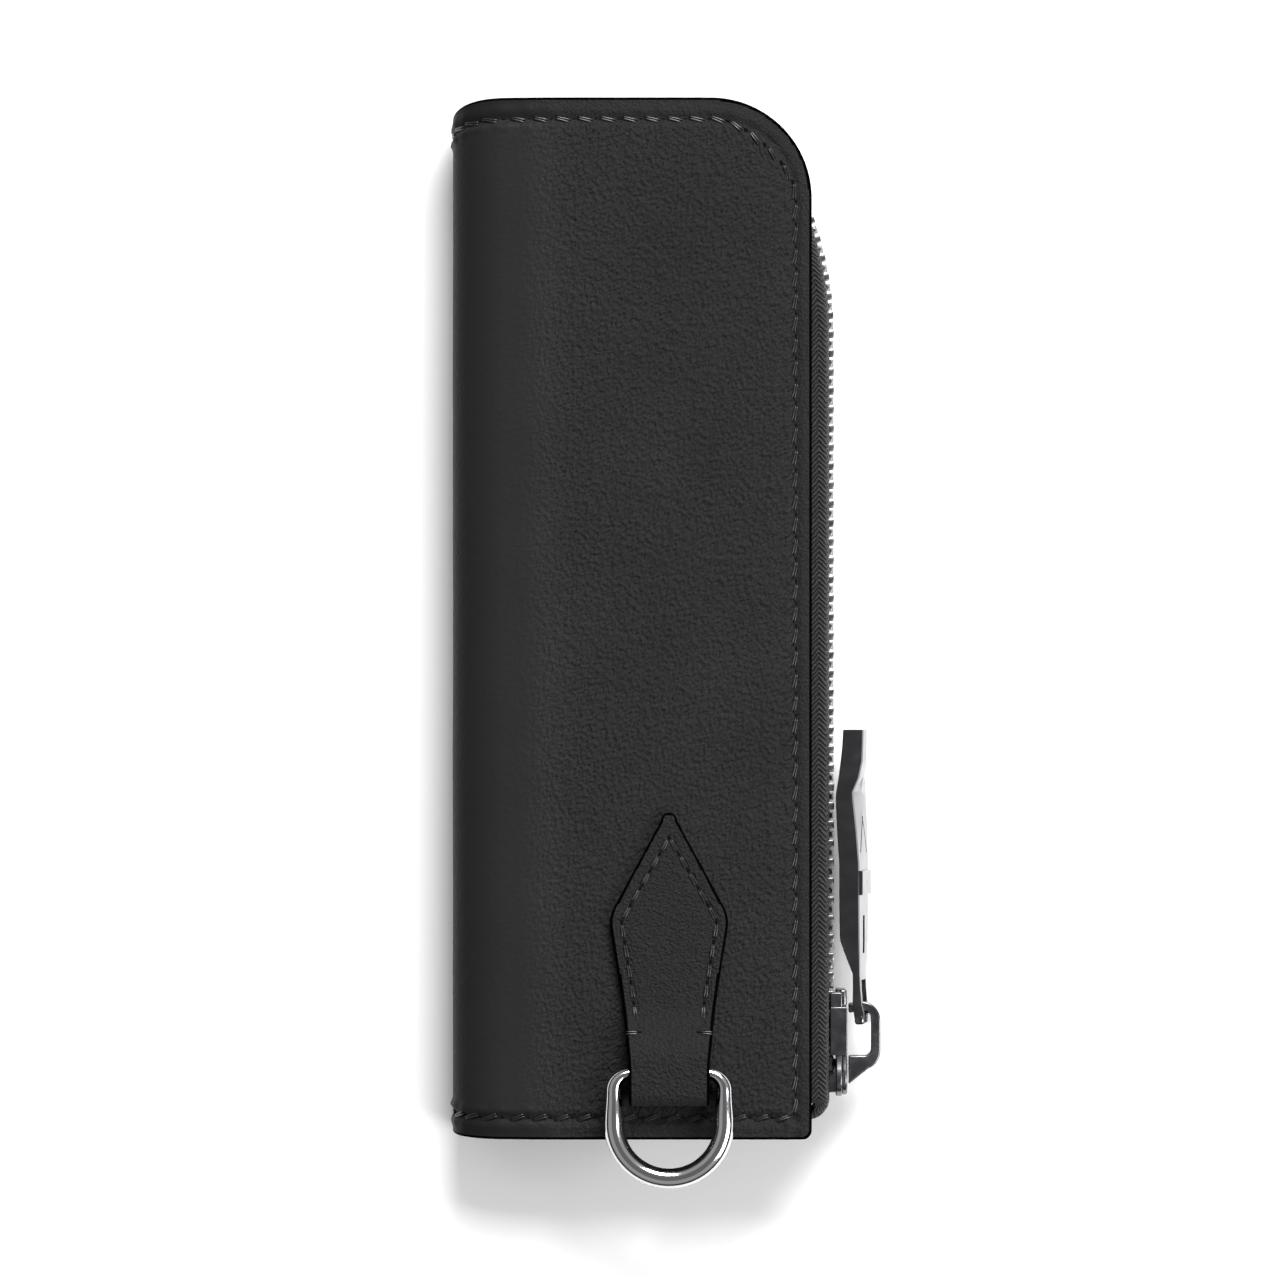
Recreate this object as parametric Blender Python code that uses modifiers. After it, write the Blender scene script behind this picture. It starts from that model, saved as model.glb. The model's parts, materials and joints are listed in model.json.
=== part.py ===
"""A fountain pen case: folded leather, a zip along one side, a nib-shaped pull and a D-ring on a sewn tab.

The case lies on its back. +X points from the folded spine to the zip, +Y along the length towards the rounded
corner, and +Z from the back to the front. The origin is the centre of the back's flat face. Lengths are in metres.
"""

import math

import bmesh
import bpy
from mathutils import Matrix, Vector

MM = 0.001

# The leather shell.
PANEL_WIDTH = 57 * MM
PANEL_LENGTH = 165 * MM
CASE_DEPTH = 19 * MM
LEATHER = 1.3 * MM
CORNER_RADIUS = 16 * MM
FOOT_CORNER_RADIUS = 1.5 * MM
SPINE_REACH = 9.5 * MM      # how far the rolled spine reaches in from the left
SPINE_DIP_TOP = 3.0 * MM    # how far the cut ends draw in at the spine's middle
SPINE_DIP_FOOT = 0.8 * MM
DIP_RUN = 20 * MM
BORDER = 4.5 * MM           # the pressed border outside the padded field
BORDER_STEP = 2.0 * MM
BORDER_DROP = 0.6 * MM

# What lies inside it.
GAP = 0.25 * MM             # clearance between pieces that lie on each other
LINING = 0.4 * MM
BOARD = 0.5 * MM
BOARD_GAP = 0.4 * MM        # the leather is bonded to the board by a soft layer of this thickness
BOARD_MARGIN = 3.5 * MM     # from the padded field's edge in to the board
LINING_INSET = 1.0 * MM     # from the edge along the zip in to the lining
END_WALL = 0.8 * MM
END_WALL_FLANGE = 4.3 * MM
END_WALL_TUCK = 2.7 * MM
END_WALL_SHORT = 1.3 * MM   # how far short of the zip the bottom wall ends
END_WALL_SWEEP = math.radians(58)  # how far the top wall goes round the rounded corner
END_WALL_START = 3.4 * MM   # from the spine's outside in to the end walls

# The zip. Its chain stands upright, in a plane that faces +X.
TAPE = 0.5 * MM
CHAIN_OUT = 2.5 * MM        # from the panels' edge out to the middle of the tape
TAPE_BEND = 1.3 * MM
TAPE_TURN_IN = 6.5 * MM     # how much tape lies under each panel
TAPE_CURL = 3.0 * MM
TOOTH_PITCH = 3.0 * MM
TOOTH_CLEARANCE = 0.3 * MM
TOOTH_THICKNESS = 2.3 * MM
TOOTH_REACH = 0.9 * MM      # how far each tooth crosses the chain's middle
CHAIN_HALF_WIDTH = 2.6 * MM
CHAIN_TURN_INSET = 36.9 * MM    # from the panels' top edge down to where the chain starts to bend inwards
CHAIN_TURN_RADIUS = 51 * MM
CHAIN_TOP_INSET = 15 * MM   # from the panels' top edge down to the last tooth
TAPE_TOP_INSET = 11.5 * MM
TAPE_FOOT_INSET = 6.3 * MM
STOP_LENGTH = 2.2 * MM

# The slider.
SLIDER_LENGTH = 17.0 * MM
SLIDER_HALF_TAIL = 4.1 * MM
SLIDER_HALF_MOUTH = 5.0 * MM
SLIDER_PLATE = 1.8 * MM
SLIDER_FLANGE = 0.9 * MM
SLIDER_FLANGE_LENGTH = 10.5 * MM
SLIDER_SLOT = 0.3 * MM      # clearance on each side of the tape
DIVIDER_HALF_WIDTH = 1.1 * MM
SLIDER_MOUTH_INSET = 6.6 * MM   # from the panels' bottom edge up to the slider's mouth
CROWN_OPENING = 3.75 * MM   # from the outer plate out to the inside of the band
CROWN_BAND = 1.35 * MM
CROWN_WIDTH = 3.0 * MM
CROWN_TOP_BACK = 2.0 * MM   # from the slider's tail to the crown's near end
CROWN_LENGTH = 13.2 * MM

# The pull, measured along its length from the middle of its crossbar.
PULL_LENGTH = 46.1 * MM
PULL_HALF_WIDTH = 4.7 * MM
PULL_BAR = 1.6 * MM
PULL_PLAY = 0.7 * MM        # between the crossbar and the inside of the crown
PULL_SIDE_PLAY = 0.55 * MM  # between the loop's arms and the crown
PULL_ARM = 1.25 * MM
PULL_ROLL = math.radians(11)    # it rests a little turned, with its face towards the front
PULL_WINDOW = 6.3 * MM      # how far up the window reaches
ROOT_FILLET = 0.1 * MM
PULL_SLOT = (10.5 * MM, 16.5 * MM)
PULL_SLOT_HALF = 0.8 * MM
PULL_SLOT_FLOOR = 0.8 * MM

# The D-ring and its tab.
RING_OFFSET = 5.9 * MM      # from the middle of the panel towards the zip
RING_BAR_INSET = 10.6 * MM  # from the panels' bottom edge up to the ring's bar
RING_INNER_WIDTH = 14.3 * MM
RING_BAR = 1.9 * MM
RING_BOW = 3.2 * MM
RING_HEIGHT = 19.1 * MM
RING_CORNER = 2.6 * MM
TAB_LEATHER = 1.1 * MM
STRAP_HALF_WIDTH = 6.35 * MM
TAB_HALF_WIDTH = 9.7 * MM
TAB_NECK_HALF_WIDTH = 6.9 * MM
TAB_TIP_RADIUS = 1.3 * MM
TAB_FOOT_INSET = 5.5 * MM   # from the panels' bottom edge up to the strap's fold
TAB_NECK_Y = 11.9 * MM      # the rest are measured up from the strap's fold
TAB_WIDEST_Y = 29.8 * MM
TAB_TIP_Y = 46.3 * MM
TAB_RETURN = 11.0 * MM
LOOP_CLEARANCE = 0.3 * MM

# The sewing.
THREAD = 0.4 * MM
THREAD_LIFT = 0.2 * MM
SEAM_INSET = 3.5 * MM       # from the ends
SEAM_SIDE_INSET = 2.7 * MM  # from the edge along the zip
SEAM_START = 1.0 * MM
TAB_SEAM_INSET = 1.7 * MM
TACK = 2.4 * MM

# Places worked out from the sizes above.
LEFT = -PANEL_WIDTH / 2
RIGHT = PANEL_WIDTH / 2
TOP = PANEL_LENGTH / 2
FOOT = -PANEL_LENGTH / 2
MID_Z = CASE_DEPTH / 2
SPINE_X = LEFT + SPINE_REACH
FIELD_HALF = CASE_DEPTH / 2
BORDER_HALF = FIELD_HALF - BORDER_DROP
TAPE_HALF = BORDER_HALF - LEATHER - GAP - TAPE / 2
LINING_HALF = TAPE_HALF - TAPE / 2 - GAP
CHAIN_X = RIGHT + CHAIN_OUT
CHAIN_TURN_Y = TOP - CHAIN_TURN_INSET
SLIDER_MOUTH_Y = FOOT + SLIDER_MOUTH_INSET
SLIDER_TAIL_Y = SLIDER_MOUTH_Y + SLIDER_LENGTH
FLANGE_FOOT_Y = SLIDER_TAIL_Y - SLIDER_FLANGE_LENGTH
CHANNEL_HALF = TOOTH_THICKNESS / 2 + TOOTH_CLEARANCE
PLATE_TOP_X = CHAIN_X + CHANNEL_HALF + SLIDER_PLATE
CROWN_TOP_Y = SLIDER_TAIL_Y - CROWN_TOP_BACK
CROWN_OUT_X = PLATE_TOP_X + GAP + CROWN_OPENING + CROWN_BAND
PULL_PIVOT = Vector((
    CROWN_OUT_X - CROWN_BAND - PULL_BAR / 2 - PULL_PLAY,
    CROWN_TOP_Y - CROWN_BAND - PULL_BAR / 2 - PULL_PLAY,
    MID_Z,
))
TAB_REST_Z = CASE_DEPTH + GAP + TAB_LEATHER / 2
RING_Z = TAB_REST_Z + TAB_LEATHER / 2 + LOOP_CLEARANCE + RING_BAR / 2
STRAP_Z = RING_Z + RING_BAR / 2 + LOOP_CLEARANCE + TAB_LEATHER / 2
RING_PIVOT = Vector((RING_OFFSET, FOOT + RING_BAR_INSET, RING_Z))
TAB_FOOT_Y = FOOT + TAB_FOOT_INSET
# Turns an outline made in the y-z plane to lie in the x-y plane, with its depth about the case's middle.
LAY_FLAT = Matrix(((0, 1, 0, 0), (0, 0, 1, 0), (1, 0, 0, MID_Z), (0, 0, 0, 1)))

part_collection = None
helper_collection = None


def smooth(value):
    """0 below 0, 1 above 1, and an S-curve between."""
    value = min(max(value, 0.0), 1.0)
    return value * value * (3 - 2 * value)


def clear_scene():
    for obj in list(bpy.data.objects):
        bpy.data.objects.remove(obj, do_unlink=True)


def new_collection(name):
    collection = bpy.data.collections.new(name)
    bpy.context.scene.collection.children.link(collection)
    return collection


def material(name, colour, roughness, metallic=0.0):
    made = bpy.data.materials.new(name)
    made.use_nodes = True
    shader = made.node_tree.nodes["Principled BSDF"]
    shader.inputs["Base Color"].default_value = (*colour, 1.0)
    shader.inputs["Roughness"].default_value = roughness
    shader.inputs["Metallic"].default_value = metallic
    return made


def add_part(name, mesh, finish, origin=(0, 0, 0), parent=None):
    """Links a mesh that is given in world places, with the object's origin moved to the one given."""
    origin = Vector(origin)
    mesh.transform(Matrix.Translation(-origin))
    obj = bpy.data.objects.new(name, mesh)
    obj.location = origin
    if parent is not None:
        obj.parent = parent
        obj.location = origin - parent.location
    mesh.materials.clear()
    mesh.materials.append(finish)
    part_collection.objects.link(obj)
    return obj


def add_helper(name, mesh):
    obj = bpy.data.objects.new(name, mesh)
    obj.hide_render = True
    obj.display_type = "WIRE"
    helper_collection.objects.link(obj)
    return obj


def boolean(obj, helper, operation):
    modifier = obj.modifiers.new(helper.name, "BOOLEAN")
    modifier.object = helper
    modifier.operation = operation
    modifier.solver = "EXACT"


def mesh_from(bm, name):
    bmesh.ops.recalc_face_normals(bm, faces=bm.faces)
    mesh = bpy.data.meshes.new(name)
    bm.to_mesh(mesh)
    bm.free()
    mesh.shade_smooth()
    mesh.set_sharp_from_angle(angle=math.radians(35))
    return mesh


def box_mesh(name, low, high):
    bm = bmesh.new()
    bmesh.ops.create_cube(bm, size=1.0)
    for vertex in bm.verts:
        for axis in range(3):
            vertex.co[axis] = low[axis] if vertex.co[axis] < 0 else high[axis]
    return mesh_from(bm, name)


def sheet_mesh(name, across, along, place):
    """A grid with one column for each value across and one row for each along, laid where place says."""
    bm = bmesh.new()
    columns, rows = len(across) - 1, len(along) - 1
    bmesh.ops.create_grid(bm, x_segments=columns, y_segments=rows, size=1.0)
    for vertex in bm.verts:
        column = round((vertex.co.x + 1) / 2 * columns)
        row = round((vertex.co.y + 1) / 2 * rows)
        vertex.co = place(across[column], along[row])
    mesh = bpy.data.meshes.new(name)
    bm.to_mesh(mesh)
    bm.free()
    mesh.shade_smooth()
    return mesh


def thicken(obj, thickness, offset):
    modifier = obj.modifiers.new("thickness", "SOLIDIFY")
    modifier.thickness = thickness
    modifier.offset = offset
    modifier.use_even_offset = True


def outline_mesh(name, points, low_x, high_x):
    """A flat outline of (y, z) points, given depth from low_x to high_x."""
    curve = bpy.data.curves.new(name, "CURVE")
    curve.dimensions = "2D"
    curve.fill_mode = "BOTH"
    curve.extrude = (high_x - low_x) / 2
    spline = curve.splines.new("POLY")
    spline.points.add(len(points) - 1)
    for point, (y, z) in zip(spline.points, points):
        point.co = (y, z, 0, 1)
    spline.use_cyclic_u = True
    # The curve's own x, y and z become the world's y, z and x.
    turn = Matrix(((0, 0, 1, (low_x + high_x) / 2), (1, 0, 0, 0), (0, 1, 0, 0), (0, 0, 0, 1)))
    return mesh_from_curve(name, curve, turn)


def mesh_from_curve(name, curve, turn):
    holder = bpy.data.objects.new(name, curve)
    bpy.context.scene.collection.objects.link(holder)
    graph = bpy.context.evaluated_depsgraph_get()
    mesh = bpy.data.meshes.new_from_object(holder.evaluated_get(graph))
    bpy.data.objects.remove(holder, do_unlink=True)
    bpy.data.curves.remove(curve)
    bm = bmesh.new()
    bm.from_mesh(mesh)
    bpy.data.meshes.remove(mesh)
    bmesh.ops.remove_doubles(bm, verts=bm.verts, dist=0.001 * MM)
    bmesh.ops.transform(bm, matrix=turn, verts=bm.verts)
    return mesh_from(bm, name)


def tube(name, points, finish, diameter, radii=None, closed=False, sides=1, origin=(0, 0, 0), parent=None):
    """A curve object along the points; radii scale the thickness from point to point."""
    origin = Vector(origin)
    curve = bpy.data.curves.new(name, "CURVE")
    curve.dimensions = "3D"
    curve.bevel_depth = diameter / 2
    curve.bevel_resolution = sides
    curve.use_fill_caps = not closed
    spline = curve.splines.new("POLY")
    spline.points.add(len(points) - 1)
    for index, (point, place) in enumerate(zip(spline.points, points)):
        point.co = (*(Vector(place) - origin), 1)
        point.radius = radii[index] if radii else 1.0
    spline.use_cyclic_u = closed
    spline.use_smooth = True
    obj = bpy.data.objects.new(name, curve)
    obj.location = origin
    if parent is not None:
        obj.parent = parent
        obj.location = origin - parent.location
    curve.materials.append(finish)
    part_collection.objects.link(obj)
    return obj


def empty(name, place, parent=None):
    obj = bpy.data.objects.new(name, None)
    obj.empty_display_size = 5 * MM
    obj.location = Vector(place)
    if parent is not None:
        obj.parent = parent
        obj.location = Vector(place) - parent.location
    part_collection.objects.link(obj)
    return obj


def arc(centre, radius, start, end, steps):
    """Points on an arc in a plane, both ends included; the angles are in radians."""
    angles = [start + (end - start) * step / steps for step in range(steps + 1)]
    return [(centre[0] + radius * math.cos(a), centre[1] + radius * math.sin(a)) for a in angles]


# The panels' outline and the section of the fold.


def panel_right(y, inset=0.0):
    """The x of the panel's right edge, or of a line that runs inset inside it."""
    centre_y = TOP - CORNER_RADIUS
    foot_y = FOOT + FOOT_CORNER_RADIUS
    if y > centre_y:
        radius = CORNER_RADIUS - inset
        return RIGHT - CORNER_RADIUS + math.sqrt(max(radius**2 - (y - centre_y) ** 2, 0.0))
    if y < foot_y:
        radius = FOOT_CORNER_RADIUS
        return RIGHT - inset - radius + math.sqrt(max(radius**2 - (y - foot_y) ** 2, 0.0))
    return RIGHT - inset


def edge_distance(x, y):
    """How far a point of the panel is from its nearest cut edge."""
    centre_x, centre_y = RIGHT - CORNER_RADIUS, TOP - CORNER_RADIUS
    if x > centre_x and y > centre_y:
        return CORNER_RADIUS - math.hypot(x - centre_x, y - centre_y)
    return min(RIGHT - x, TOP - y, y - FOOT)


def half_height(x, y):
    """The outer face's height above the case's middle."""
    rise = smooth((edge_distance(x, y) - BORDER) / BORDER_STEP)
    return BORDER_HALF + BORDER_DROP * rise


def spine_dip(turned, y):
    """How far the cut end draws in, where turned is 0 at the panel and 1 at the spine's middle."""
    top = SPINE_DIP_TOP * smooth(1 - (TOP - y) / DIP_RUN)
    foot = SPINE_DIP_FOOT * smooth(1 - (y - FOOT) / DIP_RUN)
    return turned * (foot - top)


def fold_place(inset, right_of):
    """Places a point of the fold. u runs 0..1 on the back from its edge to the spine, 1..2 round it, 2..3 on the front."""

    def place(u, y):
        if 1 < u < 2:
            angle = math.pi * (u - 1) - math.pi / 2
            half = half_height(SPINE_X, y) - inset
            x = SPINE_X - (SPINE_REACH - inset) * math.cos(angle)
            return Vector((x, y + spine_dip(1 - abs(math.sin(angle)), y), MID_Z + half * math.sin(angle)))
        side = -1 if u <= 1 else 1
        share = u if u <= 1 else 3 - u
        right = right_of(y)
        x = right + (SPINE_X - right) * share
        return Vector((x, y, MID_Z + side * (half_height(x, y) - inset)))

    return place


def rows_of_panel():
    """The shell's rows: closer where the corner turns and where the border ends."""
    centre_y = TOP - CORNER_RADIUS
    arc_rows = [centre_y + CORNER_RADIUS * math.sin(math.radians(a)) for a in (0, 14, 27, 56, 66, 75, 83)]
    foot_rows = [FOOT + FOOT_CORNER_RADIUS * (1 - math.cos(math.radians(a))) for a in (0, 30, 60, 90)]
    border_rows = [FOOT + BORDER, FOOT + BORDER + BORDER_STEP, TOP - BORDER - BORDER_STEP, TOP - BORDER]
    dip_rows = [FOOT + DIP_RUN, TOP - DIP_RUN * 0.8]
    middle = [centre_y + (FOOT + DIP_RUN - centre_y) * share for share in (0.25, 0.5, 0.75)]
    rows = sorted(arc_rows + foot_rows + border_rows + dip_rows + middle + [TOP])
    kept = [rows[0]]
    for row in rows[1:]:
        if row - kept[-1] > 0.05 * MM:
            kept.append(row)
    return kept


def fold_columns(spine_steps):
    """One back panel, the spine and one front panel, with columns at the border's two edges."""
    span = RIGHT - SPINE_X
    back = [0.0, BORDER / span, (BORDER + BORDER_STEP) / span, 0.45, 0.72]
    spine = [1 + step / spine_steps for step in range(spine_steps + 1)]
    return back + spine + [3 - share for share in reversed(back)]


def leather_shell(finish):
    mesh = sheet_mesh("leather_shell", fold_columns(14), rows_of_panel(), fold_place(0.0, panel_right))
    thicken(add_part("leather_shell", mesh, finish), LEATHER, -1)


def chain_x(y):
    """The middle of the tape at this height: straight, then bending inwards below the rounded corner."""
    past = max(y - CHAIN_TURN_Y, 0.0)
    return CHAIN_X - past**2 / (2 * CHAIN_TURN_RADIUS)


def lining(finish):
    inset = CASE_DEPTH / 2 - LINING_HALF
    corner_y = TOP - CORNER_RADIUS
    inner_radius = CORNER_RADIUS - END_WALL_FLANGE - END_WALL_TUCK - END_WALL / 2 - GAP

    def right_of(y):
        if y < corner_y:
            return min(RIGHT - LINING_INSET, chain_x(y) - TAPE_BEND - TAPE - GAP)
        return RIGHT - CORNER_RADIUS + math.sqrt(inner_radius**2 - (y - corner_y) ** 2)

    def place(u, y):
        point = fold_place(inset, right_of)(u, y)
        if not 1 < u < 2:
            point.z = MID_Z + (LINING_HALF if u > 1 else -LINING_HALF)
        return point

    end = TOP - END_WALL_FLANGE - END_WALL_TUCK - END_WALL - GAP
    corner_rows = [corner_y + (end - corner_y) * math.sin(math.radians(a)) for a in (0, 25, 50, 90)]
    rows = [-end, -end / 2, 0.0, CHAIN_TURN_Y, corner_y - CORNER_RADIUS / 4] + corner_rows
    across = [0.0, 0.5] + [1 + step / 10 for step in range(11)] + [2.5, 3.0]
    thicken(add_part("lining", sheet_mesh("lining", across, rows, place), finish), LINING, -1)


def board_outline():
    """The stiffening board's outline: inside the padded field, rounded at the case's rounded corner."""
    inset = BORDER + BORDER_STEP + BOARD_MARGIN
    radius = CORNER_RADIUS - inset + BOARD_MARGIN
    left = SPINE_X + BOARD_MARGIN
    corner = arc((RIGHT - inset - radius, TOP - inset - radius), radius, 0, math.pi / 2, 6)
    return [(left, FOOT + inset), (RIGHT - inset, FOOT + inset)] + corner + [(left, TOP - inset)]


def board(name, side, finish):
    outer = CASE_DEPTH / 2 - LEATHER - BOARD_GAP
    low, high = sorted((side * outer, side * (outer - BOARD)))
    mesh = outline_mesh(name, board_outline(), low, high)
    mesh.transform(LAY_FLAT)
    add_part(name, mesh, finish)


def wall_section(half):
    """(distance in from the edge, height) across an end wall that is half high, front to back."""
    tuck = [(END_WALL_FLANGE + END_WALL_TUCK * math.cos(a), half * math.sin(a))
            for a in (math.radians(60), math.radians(30), 0, math.radians(-30), math.radians(-60))]
    edge = 0.4 * MM
    return [(edge, half), (END_WALL_FLANGE, half)] + tuck + [(END_WALL_FLANGE, -half), (edge, -half)]


def wall_half(x):
    """The end wall's half height, which follows the inside of the spine."""
    full = BORDER_HALF - LEATHER
    into = max(SPINE_X - x, 0.0) / (SPINE_REACH - LEATHER - GAP)
    return full * math.sqrt(max(1 - into**2, 0.0)) - GAP - END_WALL / 2


def end_wall(name, side, path, finish):
    """A wall swept along a path of (point on the edge, direction inwards)."""

    def place(index, step):
        point, inward = path[step]
        distance, height = wall_section(wall_half(point.x))[index]
        spot = point + inward * distance
        return Vector((spot.x, spot.y, MID_Z + height))

    mesh = sheet_mesh(name, list(range(9)), list(range(len(path))), place)
    if side < 0:
        mesh.flip_normals()
    thicken(add_part(name, mesh, finish), END_WALL, 0)


def straight_path(end, side, last_x):
    """The end wall's path along a straight end, drawn in at the spine as the leather is."""
    path = []
    start = LEFT + END_WALL_START
    for share in (0.0, 0.3, 0.6, 1.0):
        x = start + (SPINE_X - start) * share
        turned = 1 - math.sqrt(max(1 - ((SPINE_X - x) / SPINE_REACH) ** 2, 0.0))
        path.append((Vector((x, end + spine_dip(turned, end))), Vector((0, -side))))
    path.append((Vector((last_x, end)), Vector((0, -side))))
    return path


def end_walls(finish):
    centre = Vector((RIGHT - CORNER_RADIUS, TOP - CORNER_RADIUS))
    top = straight_path(TOP, 1, centre.x)
    steps = 6
    for step in range(1, steps + 1):
        angle = math.pi / 2 - END_WALL_SWEEP * step / steps
        outward = Vector((math.cos(angle), math.sin(angle)))
        top.append((centre + outward * CORNER_RADIUS, -outward))
    end_wall("end_wall_top", 1, top, finish)
    end_wall("end_wall_bottom", -1, straight_path(FOOT, -1, RIGHT - END_WALL_SHORT), finish)


# The zip.


def tape_section():
    """(outward offset from the tape's plane, height, how far the turned-in end follows) from the teeth to the turn-in."""
    inner = CHAIN_HALF_WIDTH + TOOTH_CLEARANCE
    bend_z = TAPE_HALF - TAPE_BEND
    section = [(0.0, inner, 1.0), (0.0, (inner + bend_z) / 2, 1.0)]
    for angle in (0, 30, 60, 90):
        turn = math.radians(angle)
        out = -TAPE_BEND * (1 - math.cos(turn))
        section.append((out, bend_z + TAPE_BEND * math.sin(turn), 1.0 - 0.8 * angle / 90))
    return section + [(None, TAPE_HALF, 0.2)]


def tape(name, side, finish):
    section = tape_section()
    curl_y = FOOT + TAPE_FOOT_INSET
    turn_in_x = RIGHT - TAPE_TURN_IN
    top_y = TOP - TAPE_TOP_INSET

    def place(index, row):
        out, height, follow = section[index]
        angle = max(-row, 0.0)
        y = curl_y if row < 0 else row_y[row]
        x = turn_in_x if out is None else chain_x(y) + out
        x -= follow * TAPE_CURL * (1 - math.cos(angle))
        y -= follow * TAPE_CURL * math.sin(angle)
        return Vector((x, y, MID_Z + side * height))

    steps = 6
    row_y = {0: curl_y, 1: FOOT / 2, 2: 0.0, 3: CHAIN_TURN_Y}
    for step in range(1, steps + 1):
        row_y[3 + step] = CHAIN_TURN_Y + (top_y - CHAIN_TURN_Y) * step / steps
    rows = [-math.radians(a) for a in (90, 60, 30)] + sorted(row_y)
    mesh = sheet_mesh(name, list(range(len(section))), rows, place)
    thicken(add_part(name, mesh, finish), TAPE, 0)


def teeth(name, side, finish):
    """One row of teeth with the bead that they grip, made along a straight line and then bent with the chain."""
    tooth = (TOOTH_PITCH - 2 * TOOTH_CLEARANCE) / 2
    first = FLANGE_FOOT_Y + (0 if side > 0 else TOOTH_PITCH / 2)
    count = int((TOP - CHAIN_TOP_INSET - first) / TOOTH_PITCH)
    bead = TOOTH_REACH + TOOTH_CLEARANCE
    marks = []
    for index in range(count):
        start = first + index * TOOTH_PITCH
        marks += [start, start + tooth]

    def place(across, y):
        return Vector((CHAIN_X + across * TOOTH_THICKNESS / 2, y, MID_Z + side * bead))

    flat = sheet_mesh(name, [-1, 1], marks, place)
    bm = bmesh.new()
    bm.from_mesh(flat)
    bpy.data.meshes.remove(flat)
    inner_faces = list(bm.faces)
    tooth_faces = [f for f in inner_faces if any(
        abs(f.calc_center_median().y - (marks[i] + marks[i + 1]) / 2) < 0.1 * MM for i in range(0, len(marks), 2))]
    raised = bmesh.ops.extrude_face_region(bm, geom=inner_faces, use_keep_orig=True)
    for vertex in (item for item in raised["geom"] if isinstance(item, bmesh.types.BMVert)):
        vertex.co.z += side * (CHAIN_HALF_WIDTH - bead)
    heads = bmesh.ops.extrude_discrete_faces(bm, faces=tooth_faces)["faces"]
    for face in heads:
        for vertex in face.verts:
            vertex.co.z -= side * (bead + TOOTH_REACH)
            vertex.co.x = CHAIN_X + (vertex.co.x - CHAIN_X) * 0.8
    for vertex in bm.verts:
        vertex.co.x += chain_x(vertex.co.y) - CHAIN_X
    add_part(name, mesh_from(bm, name), finish)


def zip_stops(finish):
    bead = TOOTH_REACH + TOOTH_CLEARANCE
    high_y = FLANGE_FOOT_Y - GAP
    half = TOOTH_THICKNESS / 2
    for name, side in (("zip_stop_front", 1), ("zip_stop_back", -1)):
        low_z, high_z = sorted((side * (bead + 0.2 * MM), side * CHAIN_HALF_WIDTH))
        low = (CHAIN_X - half, high_y - STOP_LENGTH, MID_Z + low_z)
        high = (CHAIN_X + half, high_y, MID_Z + high_z)
        add_part(name, box_mesh(name, low, high), finish)
    low_y = TOP - CHAIN_TOP_INSET + TOOTH_PITCH / 2
    x = chain_x(low_y + STOP_LENGTH / 2)
    low = (x - half, low_y, MID_Z - CHAIN_HALF_WIDTH)
    high = (x + half, low_y + STOP_LENGTH, MID_Z + CHAIN_HALF_WIDTH)
    add_part("zip_end_stop", box_mesh("zip_end_stop", low, high), finish)


# The slider, its crown and the pull.


def plate_outline(half_tail, half_mouth, tail_y, mouth_y):
    """A slider plate seen from its face: straight sides that widen to a rounded mouth."""
    corner = 1.2 * MM
    round_mouth = 2.6 * MM
    right = arc((tail_y - corner, half_tail - corner), corner, 0, math.pi / 2, 3)
    right.append((FLANGE_FOOT_Y, half_tail))
    right.append((FLANGE_FOOT_Y - 2 * MM, half_mouth))
    right += arc((mouth_y + round_mouth, half_mouth - round_mouth), round_mouth, math.pi / 2, math.pi, 4)
    return [(y, MID_Z + z) for y, z in right] + [(y, MID_Z - z) for y, z in reversed(right)]


def slider_body(finish, parent):
    """Two plates joined by the divider, with flanges that turn towards the tape along both sides."""
    outline = plate_outline(SLIDER_HALF_TAIL, SLIDER_HALF_MOUTH, SLIDER_TAIL_Y, SLIDER_MOUTH_Y)
    mesh = outline_mesh("slider_body", outline, CHAIN_X + CHANNEL_HALF, PLATE_TOP_X)
    body = add_part("slider_body", mesh, finish, (CHAIN_X, (SLIDER_MOUTH_Y + SLIDER_TAIL_Y) / 2, MID_Z), parent)
    inner = outline_mesh("inner_plate", outline, 2 * CHAIN_X - PLATE_TOP_X, CHAIN_X - CHANNEL_HALF)
    boolean(body, add_helper("inner_plate", inner), "UNION")
    overlap = 0.2 * MM
    divider = [(FLANGE_FOOT_Y - 0.6 * MM, 0), (FLANGE_FOOT_Y - 3 * MM, DIVIDER_HALF_WIDTH),
               (SLIDER_MOUTH_Y + 0.4 * MM, DIVIDER_HALF_WIDTH), (SLIDER_MOUTH_Y + 0.4 * MM, -DIVIDER_HALF_WIDTH),
               (FLANGE_FOOT_Y - 3 * MM, -DIVIDER_HALF_WIDTH)]
    post = outline_mesh("divider", [(y, MID_Z + z) for y, z in divider],
                        CHAIN_X - CHANNEL_HALF - overlap, CHAIN_X + CHANNEL_HALF + overlap)
    boolean(body, add_helper("divider", post), "UNION")
    slot = TAPE / 2 + SLIDER_SLOT
    for side in (1, -1):
        for out in (1, -1):
            low_x, high_x = sorted((CHAIN_X + out * slot, CHAIN_X + out * (CHANNEL_HALF + overlap)))
            low_z, high_z = sorted((side * (SLIDER_HALF_TAIL - SLIDER_FLANGE), side * SLIDER_HALF_TAIL))
            name = "flange_%s_%s" % ("front" if side > 0 else "back", "outer" if out > 0 else "inner")
            flange = box_mesh(name, (low_x, FLANGE_FOOT_Y, MID_Z + low_z),
                              (high_x, SLIDER_TAIL_Y - 1.2 * MM, MID_Z + high_z))
            boolean(body, add_helper(name, flange), "UNION")


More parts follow.
